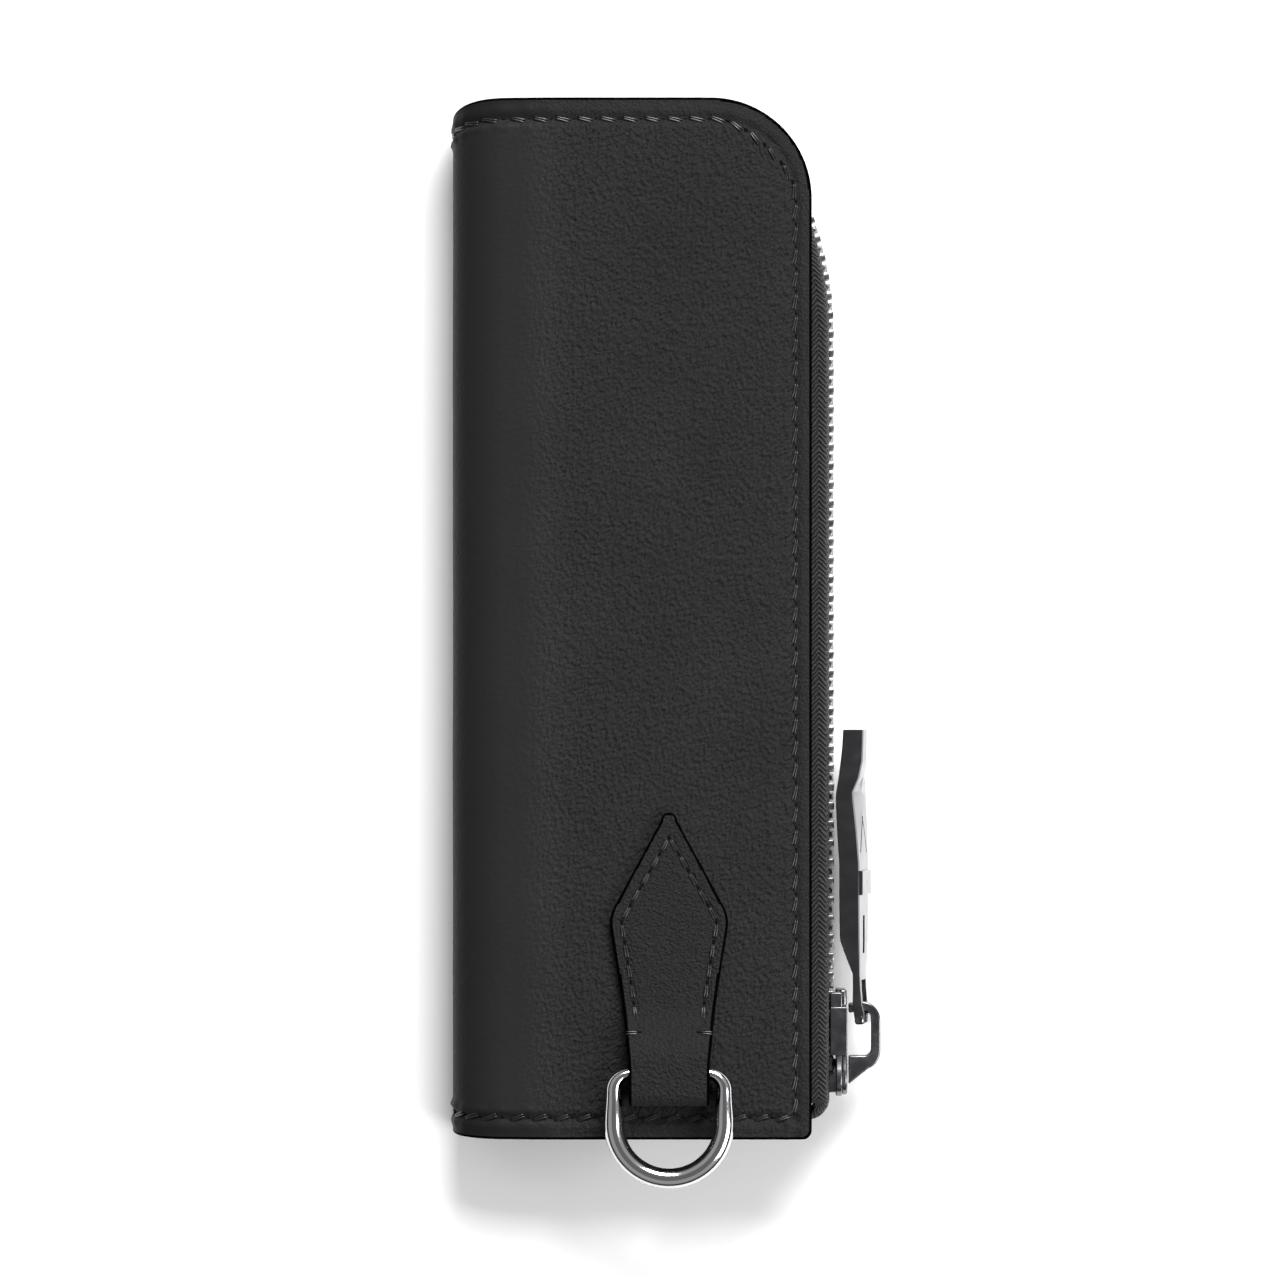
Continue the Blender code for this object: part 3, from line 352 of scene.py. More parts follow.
def woven_tape():
    """Polyester zip tape, herringbone woven: zigzag rows of fine yarn, with highlights painted on their
    crests and shade painted between them.
    """
    tree = new_material("herringbone_polyester_tape")
    tint = colours().tape
    flat = add_node(tree, "UVMap", uv_map="flat_cut")
    split = add_node(tree, "SeparateXYZ", {0: flat})
    across, along = split.outputs[0], split.outputs[1]
    zigzag = add_node(tree, "Math", {0: across, 1: sizes().weave}, operation="PINGPONG")
    slant = add_node(tree, "Math", {0: zigzag, 1: 1.1, 2: along}, operation="MULTIPLY_ADD")
    uneven = add_node(tree, "TexNoise", {"Vector": flat, "Scale": YARN_DRIFT, "Detail": 2.0})
    wander = add_node(tree, "Math", {0: uneven, 1: 0.8 * MM, 2: slant}, operation="MULTIPLY_ADD")
    turns = add_node(tree, "Math", {0: wander, 1: 2 * math.pi / sizes().yarn}, operation="MULTIPLY")
    wave = add_node(tree, "Math", {0: turns}, operation="SINE")
    ply = add_node(tree, "TexNoise", {"Vector": flat, "Scale": YARN_FIBRES, "Detail": 3.0})
    yarns = add_node(tree, "MapRange", {"Value": wave, "From Min": -1.0, "To Min": 0.0, "To Max": 1.0})
    height = add_node(tree, "Math", {0: ply, 1: 0.35, 2: yarns}, operation="MULTIPLY_ADD")
    bump = add_node(tree, "Bump", {"Height": height, "Strength": 1.0, "Distance": 0.3 * MM})
    # Painted highlight and shade: the colour follows the yarns' height, light on their crests and dark
    # between them.
    base = add_node(tree, "Mix", {"Factor": yarns, MIX_FIRST: shaded(tint, 0.1),
                                  MIX_SECOND: shaded(tint, 3.2)}, data_type="RGBA")
    return finish_surface(tree, {"Roughness": 0.55, "Specular IOR Level": 0.25, "Sheen Weight": 0.05,
                                 "Sheen Roughness": 0.35}, base, bump)


def waxed_thread():
    """Bonded polyester thread, waxed: black with a tight glossy highlight along each ply."""
    tree = new_material("waxed_polyester_thread")
    tint = colours().thread
    place = add_node(tree, "TexCoord")
    fibres = add_node(tree, "TexNoise", {"Vector": place.outputs["Object"], "Scale": THREAD_FIBRES,
                                         "Detail": 2.0})
    bump = add_node(tree, "Bump", {"Height": fibres, "Strength": 0.5, "Distance": 0.04 * MM})
    base = add_node(tree, "Mix", {"Factor": fibres, MIX_FIRST: shaded(tint, 0.6),
                                  MIX_SECOND: shaded(tint, 1.6)}, data_type="RGBA")
    return finish_surface(tree, {"Roughness": 0.32, "IOR": 1.55}, base, bump)


def hole_shadow_finish():
    """Painted shadow for the inside of a needle's hole: matt and almost black."""
    tree = new_material("needle_hole_shadow")
    place = add_node(tree, "TexCoord")
    torn = add_node(tree, "TexNoise", {"Vector": place.outputs["Object"], "Scale": TORN_FIBRES})
    bump = add_node(tree, "Bump", {"Height": torn, "Strength": 0.4, "Distance": 0.05 * MM})
    base = add_node(tree, "Mix", {"Factor": torn, MIX_FIRST: linear("#010101"),
                                  MIX_SECOND: linear("#0a0a0a")}, data_type="RGBA")
    return finish_surface(tree, {"Roughness": 0.95, "Specular IOR Level": 0.1}, base, bump)


def plated_metal(name, tint, rough, scratch, cloud):
    """Plated metal, barrel polished: a mirror that handling has crossed with hairlines."""
    tree = new_material(name)
    place = add_node(tree, "TexCoord")
    lie = add_node(tree, "Mapping", {"Vector": place.outputs["Object"], "Scale": (1.0, 0.06, 1.0)})
    hairs = add_node(tree, "TexNoise", {"Vector": lie, "Scale": HAIRLINES, "Detail": 2.0})
    clouds = add_node(tree, "TexNoise", {"Vector": place.outputs["Object"], "Scale": METAL_CLOUDS,
                                         "Detail": 3.0})
    bump = add_node(tree, "Bump", {"Height": hairs, "Strength": scratch, "Distance": 0.01 * MM})
    dull = add_node(tree, "MapRange", {"Value": clouds, "From Min": 0.35, "From Max": 0.7,
                                       "To Min": rough, "To Max": rough + cloud})
    base = add_node(tree, "Mix", {"Factor": clouds, MIX_FIRST: shaded(tint, 0.93),
                                  MIX_SECOND: shaded(tint, 1.03)}, data_type="RGBA")
    return finish_surface(tree, {"Metallic": 1.0, "Roughness": dull}, base, bump)


def studio_paper():
    """Seamless backdrop paper: white, matt, with the faintest tooth."""
    tree = new_material("backdrop_paper")
    place = add_node(tree, "TexCoord")
    tooth = add_node(tree, "TexNoise", {"Vector": place.outputs["Object"], "Scale": PAPER_TOOTH})
    bump = add_node(tree, "Bump", {"Height": tooth, "Strength": 0.05, "Distance": 0.02 * MM})
    return finish_surface(tree, {"Roughness": 0.95, "Specular IOR Level": 0.1}, list(colours().floor), bump)


def finish_for(name, maker, **settings):
    """The material of that name, made once."""
    if settings:
        settings["name"] = name
    return bpy.data.materials.get(name) or maker(**settings)


def case_calf():
    return finish_for("plated_aniline_calf", calf_leather, pebble=sizes().grain, stretch=1.6, angle=52.0,
                      # The fold setting paints shade on the spine's roll.
                      shine=0.5, depth=1.0, relief_strength=1.0, smooth_from=SPINE_TURN, fold_depth=0.55)


def tab_calf():
    return finish_for("tab_aniline_calf", calf_leather, pebble=sizes().grain * 0.85, stretch=1.2, angle=30.0,
                      shine=0.47, depth=1.0, relief_strength=0.9, smooth_from=-11 * MM)


def pressed_calf():
    return finish_for("pressed_aniline_calf", calf_leather, pebble=sizes().grain * 0.7, stretch=1.7,
                      angle=50.0, shine=0.46, depth=0.72, relief_strength=0.45, smooth_from=SPINE_TURN,
                      # The fold setting paints shade on the spine's roll.
                      fold_depth=0.55)


def edge_paint():
    return finish_for("painted_edge", edge_dye)


def bright_nickel():
    return finish_for("bright_nickel_plate", plated_metal, tint=colours().nickel, rough=0.07, scratch=0.1,
                      cloud=0.06)


def tooth_metal():
    return finish_for("tumbled_nickel_silver", plated_metal, tint=colours().teeth, rough=0.22, scratch=0.3,
                      cloud=0.12)


def cast_plate():
    return finish_for("plated_zinc_casting", plated_metal, tint=colours().cast, rough=0.2, scratch=0.25,
                      cloud=0.12)


def pull_plate():
    return finish_for("plated_pull_casting", plated_metal, tint=colours().pull, rough=0.14, scratch=0.25,
                      cloud=0.08)


# Modelling helpers.


def take(piece):
    """Makes a piece the only one selected, and the active one."""
    bpy.ops.object.select_all(action="DESELECT")
    piece.select_set(True)
    bpy.context.view_layer.objects.active = piece


def edit(piece=None):
    if piece is not None:
        take(piece)
    bpy.ops.object.mode_set(mode="EDIT")
    bpy.ops.mesh.select_mode(type="VERT")


def leave_edit():
    bpy.ops.object.mode_set(mode="OBJECT")


def active(name):
    """The object that the last operator made, renamed."""
    piece = bpy.context.object
    piece.name = name
    piece.data.name = name
    return piece


def choose(piece, kind, wanted):
    """Selects the vertices or faces of an edited piece that pass a test of their middle and normal."""
    leave_edit()
    mesh = piece.data
    bpy.ops.object.mode_set(mode="EDIT")
    bpy.ops.mesh.select_mode(type=kind)
    bpy.ops.mesh.select_all(action="DESELECT")
    leave_edit()
    if kind == "FACE":
        for face in mesh.polygons:
            face.select = wanted(face.center, face.normal)
    else:
        for vertex in mesh.vertices:
            vertex.select = wanted(vertex.co, vertex.normal)
    bpy.ops.object.mode_set(mode="EDIT")


def extrude(step):
    bpy.ops.mesh.extrude_region_move(TRANSFORM_OT_translate={"value": step})


def turn(angle, axis, centre):
    """Turns the selection anticlockwise; without a window the operator turns against its sign."""
    bpy.ops.transform.rotate(value=-angle, orient_axis=axis, orient_type="GLOBAL", center_override=centre)


def resize(scale, centre):
    bpy.ops.transform.resize(value=scale, center_override=centre)


def face_outwards(piece):
    edit(piece)
    bpy.ops.mesh.select_all(action="SELECT")
    bpy.ops.mesh.normals_make_consistent(inside=False)
    leave_edit()
    return piece


def settle(piece):
    """Puts a piece's place in its mesh and turns its faces outwards."""
    take(piece)
    bpy.ops.object.transform_apply(location=True, rotation=True, scale=True)
    return face_outwards(piece)


def soften(piece, width, segments=3, angle=35):
    """Rounds a piece's sharp edges and shades it smooth."""
    take(piece)
    rounding = piece.modifiers.new("Rounding", "BEVEL")
    rounding.width = width
    rounding.segments = segments
    rounding.limit_method = "ANGLE"
    rounding.angle_limit = math.radians(angle)
    bpy.ops.object.modifier_apply(modifier=rounding.name)
    bpy.ops.object.shade_smooth_by_angle(angle=math.radians(angle))
    return piece


def level_shading(piece, angle):
    """Shades a piece smooth with its flat faces kept flat, as ground and polished flats are."""
    take(piece)
    bpy.ops.object.shade_smooth_by_angle(angle=math.radians(angle))
    levelling = piece.modifiers.new("Level shading", "WEIGHTED_NORMAL")
    levelling.keep_sharp = True
    levelling.weight = 100
    bpy.ops.object.modifier_apply(modifier=levelling.name)
    return piece


def drawn_plate(name, outline, depth):
    """A plate: its (x, y) outline is drawn point by point, filled, and extruded up by its depth."""
    bpy.ops.object.select_all(action="DESELECT")
    bpy.ops.mesh.primitive_plane_add(size=MM, location=(outline[0][0], outline[0][1], 0))
    piece = active(name)
    bpy.ops.object.transform_apply(location=True)
    edit()
    bpy.ops.mesh.merge(type="CENTER")
    for before, after in zip(outline, outline[1:]):
        extrude((after[0] - before[0], after[1] - before[1], 0))
    bpy.ops.mesh.select_all(action="SELECT")
    bpy.ops.mesh.edge_face_add()
    extrude((0, 0, depth))
    leave_edit()
    return piece


def block(name, low, high):
    """A cube primitive at its size and place."""
    low, high = Vector(low), Vector(high)
    bpy.ops.object.select_all(action="DESELECT")
    bpy.ops.mesh.primitive_cube_add(size=1, location=(low + high) / 2, scale=high - low)
    piece = active(name)
    bpy.ops.object.transform_apply(location=True, rotation=True, scale=True)
    return piece


def join(name, pieces):
    """One object of several, which keeps the first one's materials and adds the others'."""
    bpy.ops.object.select_all(action="DESELECT")
    for piece in pieces:
        piece.select_set(True)
    bpy.context.view_layer.objects.active = pieces[0]
    bpy.ops.object.join()
    return active(name)


def copies(pattern, places):
    """A copy of a piece at each place, each with its own mesh; the pattern itself goes."""
    made = []
    for place in places:
        copy = pattern.copy()
        copy.data = pattern.data.copy()
        bpy.context.scene.collection.objects.link(copy)
        copy.data.transform(place)
        made.append(copy)
    bpy.data.objects.remove(pattern)
    return made


def painted(piece, *materials):
    """Gives a piece its materials. Even an empty list's clearing would reset which face wears which."""
    if piece.data.materials:
        piece.data.materials.clear()
    for material in materials:
        piece.data.materials.append(material)
    return piece


def belongs(piece, body, slot, *nodes):
    """Says which body the piece moves with and hides the nodes that it stands for; slot is not used."""
    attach(piece, body)
    if nodes:
        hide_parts(*nodes)
    return piece


def tangent_frame(point, forward, up):
    """Places a pattern at a point with its X along forward and its Z near up."""
    x = forward.normalized()
    y = up.cross(x).normalized()
    z = x.cross(y)
    turned = Matrix((x, y, z)).transposed().to_4x4()
    return Matrix.Translation(point) @ turned


def cut_sheet(name, across, along, outer, inner, flat, finish):
    """A closed sheet of leather or cloth with two faces and a rim, mapped as it was cut, before it was bent.

    outer and inner place a point by its indices, flat gives its place in the cut, and finish a face's finish.
    """
    wide, long = len(across), len(along)
    points, maps = [], []
    for face in (outer, inner):
        for j in range(long):
            for i in range(wide):
                points.append(face(i, j))
                maps.append(flat(i, j))
    other = wide * long

    def at(i, j):
        return j * wide + i

    faces, finishes = [], []
    for j in range(long - 1):
        for i in range(wide - 1):
            ring = (at(i, j), at(i + 1, j), at(i + 1, j + 1), at(i, j + 1))
            faces += [ring, tuple(other + k for k in reversed(ring))]
            finishes += [finish(i, j)] * 2
    rim = [at(i, 0) for i in range(wide)] + [at(wide - 1, j) for j in range(1, long)]
    rim += [at(i, long - 1) for i in range(wide - 2, -1, -1)] + [at(0, j) for j in range(long - 2, 0, -1)]
    for here, following in zip(rim, rim[1:] + rim[:1]):
        faces.append((here, other + here, other + following, following))
        finishes.append(EDGE)
    mesh = bpy.data.meshes.new(name)
    mesh.from_pydata(points, [], faces)
    layer = mesh.uv_layers.new(name="flat_cut")
    for loop in mesh.loops:
        layer.data[loop.index].uv = maps[loop.vertex_index]
    for face, worn in zip(mesh.polygons, finishes):
        face.material_index = worn
        face.use_smooth = True
    mesh.validate()
    piece = bpy.data.objects.new(name, mesh)
    bpy.context.scene.collection.objects.link(piece)
    return piece


# The leather that is folded into the case.


def rounded_place(x, y):
    """Moves a point of a square-cornered panel so that the corners come out round, with an even grid."""
    for radius, sign, end in ((CORNER, 1, TOP), (FOOT_CORNER, -1, FOOT)):
        centre_x, centre_y = RIGHT - radius, end - sign * radius
        u, v = (x - centre_x) / radius, sign * (y - centre_y) / radius
        if u > 0 and v > 0:
            x = centre_x + radius * u * math.sqrt(1 - v * v / 2)
            y = centre_y + sign * radius * v * math.sqrt(1 - u * u / 2)
    return x, y


def edge_distance(x, y):
    """How far a point is from the nearest cut edge."""
    centre_x, centre_y = RIGHT - CORNER, TOP - CORNER
    if x > centre_x and y > centre_y:
        return CORNER - math.hypot(x - centre_x, y - centre_y)
    centre_x, centre_y = RIGHT - FOOT_CORNER, FOOT + FOOT_CORNER
    if x > centre_x and y < centre_y:
        return FOOT_CORNER - math.hypot(x - centre_x, y - centre_y)
    return min(RIGHT - x, TOP - y, y - FOOT)


def spine_dip(turned, y):
    """How far the cut ends draw in where the leather goes round the spine."""
    top = SPINE_DIP_TOP * smooth(1 - (TOP - y) / DIP_RUN)
    foot = SPINE_DIP_FOOT * smooth(1 - (y - FOOT) / DIP_RUN)
    return turned * (foot - top)


CORNER_SEAM = CORNER - (SEAM_SIDE + SEAM_END) / 2
TOP_RUN = SPINE_TURN + RIGHT - CORNER - SPINE_X
CORNER_RUN = CORNER_SEAM * math.pi / 2
SIDE_RUN = TOP - CORNER - FOOT - SEAM_END
LONG_SEAM = TOP_RUN + CORNER_RUN + SIDE_RUN
FOOT_SEAM = PANEL_END - SEAM_SIDE


def seam_inset(share):
    """The corner seam's distance from the edge; share is 0 at the zip side and 1 at the top."""
    return SEAM_SIDE + (SEAM_END - SEAM_SIDE) * smooth(share)


def long_seam_place(s):
    """(distance round the fold, y) at a distance along the long seam: over the top and down the side."""
    if s < TOP_RUN:
        return s, TOP - SEAM_END
    if s < TOP_RUN + CORNER_RUN:
        angle = math.pi / 2 - (s - TOP_RUN) / CORNER_SEAM
        radius = CORNER - seam_inset(2 * angle / math.pi)
        return (TOP_RUN + radius * math.cos(angle), TOP - CORNER + radius * math.sin(angle))
    return PANEL_END - SEAM_SIDE, TOP - CORNER - (s - TOP_RUN - CORNER_RUN)


def near_long_seam(p, x, y):
    """For a point of the fold: (distance inside the long seam, distance along it, 1 on its side run)."""
    centre_x, centre_y = RIGHT - CORNER, TOP - CORNER
    if x > centre_x and y > centre_y:
        angle = math.atan2(y - centre_y, x - centre_x)
        inside = CORNER - math.hypot(x - centre_x, y - centre_y) - seam_inset(2 * angle / math.pi)
        return inside, TOP_RUN + CORNER_SEAM * (math.pi / 2 - angle), smooth(1 - 2 * angle / math.pi)
    if TOP - y < RIGHT - x:
        return TOP - y - SEAM_END, abs(p), 0.0
    return RIGHT - x - SEAM_SIDE, TOP_RUN + CORNER_RUN + centre_y - y, 1.0


def seam_relief(inside, s, pitch, side):
    """The leather's height by a seam: pulled in along it, most at the holes, and swollen between threads."""
    if abs(inside) > 4 * MM:
        return 0.0
    hole = 0.5 + 0.5 * math.cos(2 * math.pi * s / pitch)
    groove = -sizes().groove * hump(inside + 0.1 * MM * side, 0.5 * MM) * (0.55 + 0.45 * hole)
    field = sizes().pucker * hump(inside - (0.85 + 0.3 * hole) * MM, 0.65 * MM) * (0.25 + 0.75 * hole)
    border = sizes().pucker * hump(inside + 1.5 * MM, 0.75 * MM) * (0.75 - 0.5 * side) * (0.4 + 0.6 * hole)
    return groove + field + border


def roll_drop(x):
    """How far the front sinks where the panel runs into the soft roll of the spine."""
    return ROLL_DROP * smooth((SPINE_X + ROLL_RUN / 2 - x) / ROLL_RUN)


# The skin's unevenness: height and length of each wave, and where the noise is sliced for it.
SKIN_WAVES = ((0.05 * MM, 14 * MM, 0.3), (0.012 * MM, 2.2 * MM, 0.7))


def fold_point(p, y, inset, relief):
    """A point of the fold: p is measured round it from the spine's middle, positive on the front."""
    side = 1 if p >= 0 else -1
    along = abs(p)
    x = SPINE_X + along - SPINE_TURN
    if along > SPINE_TURN:
        x, y = rounded_place(x, y)
    reach = edge_distance(max(x, SPINE_X), y)
    half = HALF_DEPTH - BORDER_DROP * (1 - smooth((reach - BORDER_START) / BORDER_RUN)) - inset
    if side > 0:
        half -= roll_drop(x) * (1.0 if inset == 0 else 0.5)
    rounding = EDGE_ROUND if inset == 0 else EDGE_ROUND * 0.6
    fall = rounding - math.sqrt(max(rounding**2 - max(rounding - reach, 0.0) ** 2, 0.0))
    lift = -fall if inset == 0 else fall
    if relief and reach < 9 * MM:
        inside, s, side_run = near_long_seam(p, x, y)
        lift += seam_relief(inside, s, relief[0], side_run)
        if x < RIGHT - SEAM_SIDE + 0.3 * MM:
            lift += seam_relief(y - FOOT - SEAM_END, along, relief[1], 0.0)
    if relief:
        for height, length, slice_at in SKIN_WAVES:
            lift += height * noise.noise(Vector((p, y, slice_at * side)) / length)
    if along >= SPINE_TURN:
        return Vector((x, y, MID_Z + side * (half + lift)))
    angle = along / HALF_DEPTH
    radius = HALF_DEPTH - inset + lift
    tall = half + lift
    square = ROLL_SHOULDER if side > 0 else 1.0
    dip = spine_dip(1 - math.sin(angle), y)
    return Vector((SPINE_X - radius * math.cos(angle) ** square, y + dip,
                   MID_Z + side * tall * math.sin(angle) ** square))


def seam_pitches():
    """The pitch of the long seam and of the foot seam, with a whole number of stitches in each."""
    pitch = sizes().stitch_pitch
    return [run / round(run / pitch) for run in (LONG_SEAM, FOOT_SEAM)]


SEAM_STRIP = 7 * MM     # from the cut edge in, where the mesh is finer
EDGE_ROWS = [d * MM for d in (0.0, 0.03, 0.12, 0.25, 0.42, 0.6)]


def leather_columns(spine_step, panel_step, seam_step):
    """Distances round the fold, from the spine's middle to the zip side's edge."""
    seam = PANEL_END - SEAM_STRIP
    near_edge = [PANEL_END - d for d in EDGE_ROWS]
    return in_order(spaced(0, SPINE_TURN, spine_step), spaced(SPINE_TURN, seam, panel_step),
                    spaced(seam, PANEL_END - 0.8 * MM, seam_step), near_edge)


def make_leather():
    front = leather_columns(0.9 * MM, 0.78 * MM, 0.4 * MM)
    back = leather_columns(1.1 * MM, 1.3 * MM, 0.55 * MM)
    across = [-p for p in reversed(back[1:])] + front
    along = in_order([FOOT + d for d in EDGE_ROWS], [TOP - d for d in EDGE_ROWS],
                     spaced(FOOT + 0.8 * MM, FOOT + SEAM_STRIP, 0.44 * MM),
                     spaced(FOOT + SEAM_STRIP, TOP - SEAM_STRIP, 0.64 * MM),
                     spaced(TOP - SEAM_STRIP, TOP - 0.8 * MM, 0.44 * MM))
    pitches = seam_pitches()

    def finish(i, j):
        p, y = (across[i] + across[i + 1]) / 2, (along[j] + along[j + 1]) / 2
        x, y = rounded_place(SPINE_X + abs(p) - SPINE_TURN, y) if abs(p) > SPINE_TURN else (SPINE_X, y)
        reach = edge_distance(x, y)
        if reach < PAINTED_WIDTH:
            return EDGE
        inside, _, _ = near_long_seam(p, x, y)
        return PRESSED if min(inside, y - FOOT - SEAM_END) < 0 else FACE

    piece = cut_sheet("folded_calf_shell", across, along,
                      lambda i, j: fold_point(across[i], along[j], 0.0, pitches),
                      lambda i, j: fold_point(across[i], along[j], LEATHER, None),
                      lambda i, j: (across[i], along[j]), finish)
    return painted(piece, case_calf(), edge_paint(), pressed_calf())


# The tab that holds the ring.


def tab_half_width(up):
    """Half the tab's width at a distance up from the strap's fold: strap, flare and arrowhead."""
    if up > TAB_TIP - TAB_POINT:
        short = up - (TAB_TIP - TAB_POINT)
        return math.sqrt(max(TAB_POINT**2 - short**2, (0.12 * MM) ** 2))
    if up > TAB_WIDEST:
        share = (up - TAB_WIDEST) / (TAB_TIP - TAB_POINT - TAB_WIDEST)
        return TAB_HALF + (TAB_POINT - TAB_HALF) * share
    if up > TAB_NECK:
        share = (up - TAB_NECK) / (TAB_WIDEST - TAB_NECK)
        return TAB_NECK_HALF + (TAB_HALF - TAB_NECK_HALF) * share**1.15
    return STRAP_HALF + (TAB_NECK_HALF - STRAP_HALF) * smooth(2 * up / TAB_NECK - 1)


def tab_width(up):
    """The half width with its corners eased, as cut leather has them."""
    if up > TAB_TIP - 2 * TAB_POINT:
        return tab_half_width(up)
    reach = 1.5 * MM
    return sum(tab_half_width(up + reach * k / 4) for k in range(-4, 5)) / 9


def tab_height(up):
    """The height of the tab's middle layer: on the case at the arrow, up over the ring's bar at the strap."""
    rise = smooth((TAB_NECK + 4.6 * MM - up) / (9.5 * MM))
    return TAB_REST_Z + (STRAP_Z - TAB_REST_Z) * rise


def tab_path():
    """From the tip round the fold to the end: (distance up, height, half width, way out of the face)."""
    fold = (STRAP_Z - TAB_REST_Z) / 2
    centre = (fold + TAB_LEATHER / 2, (STRAP_Z + TAB_REST_Z) / 2)
    near_tip = [TAB_TIP - d * MM for d in (0.0, 0.04, 0.12, 0.25, 0.45, 0.7, 1.0, 1.4, 1.9)]
    ups = list(reversed(in_order(near_tip, spaced(centre[0], TAB_TIP - 2.4 * MM, 0.55 * MM))))
    path = [(up, tab_height(up), tab_width(up)) for up in ups]
    path += [(y, z, STRAP_HALF) for y, z in arc(centre, fold, 90, 270, 18)[1:]]
    path += [(up, TAB_REST_Z, STRAP_HALF) for up in spaced(centre[0], TAB_RETURN, 1.2 * MM)[1:]]
    ways = []
    for k, (up, z, _) in enumerate(path):
        before, after = path[max(k - 1, 0)], path[min(k + 1, len(path) - 1)]
        way = Vector((0, before[0] - after[0], before[1] - after[1])).normalized()
        ways.append(Vector((0, -way.z, way.y)))
    return [(up, z, half, way) for (up, z, half), way in zip(path, ways)]


TAB_SEAM_INSET = 1.85 * MM
TAB_APEX = TAB_TIP - 3.9 * MM
TAB_SEAM_FOOT = TAB_NECK + 1.3 * MM


def tab_seam_half(up):
    """Half the width between the tab's two rows of stitches."""
    if up > TAB_WIDEST - 0.7 * MM:
        widest = TAB_HALF - TAB_SEAM_INSET - 0.1 * MM
        return widest * (TAB_APEX - up) / (TAB_APEX - TAB_WIDEST + 0.7 * MM)
    return tab_width(up) - TAB_SEAM_INSET


def tab_relief(x, up):
    """The arrow's face: a rim outside its stitches, pulled in along them and a little domed inside."""
    if up < TAB_NECK - 1 * MM:
        return 0.0
    inside = (tab_seam_half(min(up, TAB_APEX + 2 * MM)) - abs(x)) * 0.88
    strength = smooth((up - TAB_NECK + 1 * MM) / (2.5 * MM))
    stitch = 0.5 + 0.5 * math.cos(2 * math.pi * up / (0.88 * sizes().stitch_pitch))
    groove = -0.2 * MM * hump(inside, 0.45 * MM) * (0.7 + 0.3 * stitch)
    rim = 0.12 * MM * smooth(-inside / (0.9 * MM))
    dome = 0.1 * MM * smooth(inside / (1.2 * MM)) * (0.8 + 0.4 * stitch * hump(inside - 0.8 * MM, 0.9 * MM))
    return strength * (groove + rim + dome)


def make_tab():
    tip_rows, arrow_rows, paint_rows = 30, 90, 4    # rows of the path in the tip, the arrow and its edge
    path = tab_path()
    edge = [d * MM for d in (0.0, 0.04, 0.13, 0.26, 0.42, 0.65)]
    half = in_order(edge, spaced(0.9 * MM, 3.0 * MM, 0.3 * MM), spaced(3.0 * MM, TAB_HALF, 0.6 * MM))
    shares = [-1 + d / TAB_HALF for d in half] + [1 - d / TAB_HALF for d in reversed(half[:-1])]

    def point(i, j, face):
        up, z, width, way = path[j]
        x = shares[i] * width
        reach = max(min(width - abs(x), TAB_TIP - up if face and j < tip_rows else 1.0), 0.0)
        fall = EDGE_ROUND - math.sqrt(max(EDGE_ROUND**2 - max(EDGE_ROUND - reach, 0.0) ** 2, 0.0))
        lies = smooth((up - TAB_NECK + 4 * MM) / (4 * MM)) * (1 if j < arrow_rows else 0)
        if face:
            off = TAB_LEATHER / 2 - fall + (tab_relief(x, up) if lies > 0 else 0.0)
        else:
            off = -TAB_LEATHER / 2 - 0.2 * MM * lies + fall * 0.5
        return Vector((TAB_X + x, TAB_LOW.y + up, z)) + way * off

    run = [0.0]
    for before, after in zip(path, path[1:]):
        run.append(run[-1] + math.hypot(after[0] - before[0], after[1] - before[1]))

    def finish(i, j):
        reach = (1 - max(abs(shares[i]), abs(shares[i + 1]))) * path[j][2]
        return EDGE if reach < 0.36 * MM or j < paint_rows else FACE

    piece = cut_sheet("ring_tab_leather", shares, list(range(len(path))), lambda i, j: point(i, j, True),
                      lambda i, j: point(i, j, False), lambda i, j: (shares[i] * path[j][2], -run[j]), finish)
    return painted(face_outwards(piece), tab_calf(), edge_paint())


# The sewing.


def stitch_pattern(name, length):
    """One stitch: two plies side by side, a little twisted, with their ends going down into the holes."""
    ply = sizes().thread
    plies = []
    for side in (-1, 1):
        bpy.ops.object.select_all(action="DESELECT")
        bpy.ops.mesh.primitive_uv_sphere_add(segments=6, ring_count=7, radius=1, rotation=(0, math.pi / 2, 0),
                                             location=(0, side * ply * 0.42, 0))
        piece = active(name)
        bpy.ops.object.transform_apply(location=True, rotation=True)
        edit()
        bpy.ops.mesh.select_all(action="SELECT")
        resize((length / 2, ply / 2, ply / 2), (0, side * ply * 0.42, 0))
        turn(math.radians(1.5 * side), "Z", (0, 0, 0))
        choose(piece, "VERT", lambda co, normal: abs(co.x) > length * 0.46)
        bpy.ops.transform.translate(value=(0, 0, -ply * 0.7))
        leave_edit()
        bpy.ops.object.shade_smooth()
        plies.append(piece)
    return join(name, plies)


def hole_shadow_pattern(name):
    """The painted shadow of one needle hole: a small dark oval, hardly raised."""
    bpy.ops.object.select_all(action="DESELECT")
    bpy.ops.mesh.primitive_uv_sphere_add(segments=8, ring_count=4, radius=1)
    piece = active(name)
    edit()
    bpy.ops.mesh.select_all(action="SELECT")
    resize((0.42 * MM, 0.3 * MM, 0.1 * MM), (0, 0, 0))
    leave_edit()
    bpy.ops.object.shade_smooth()
    return piece


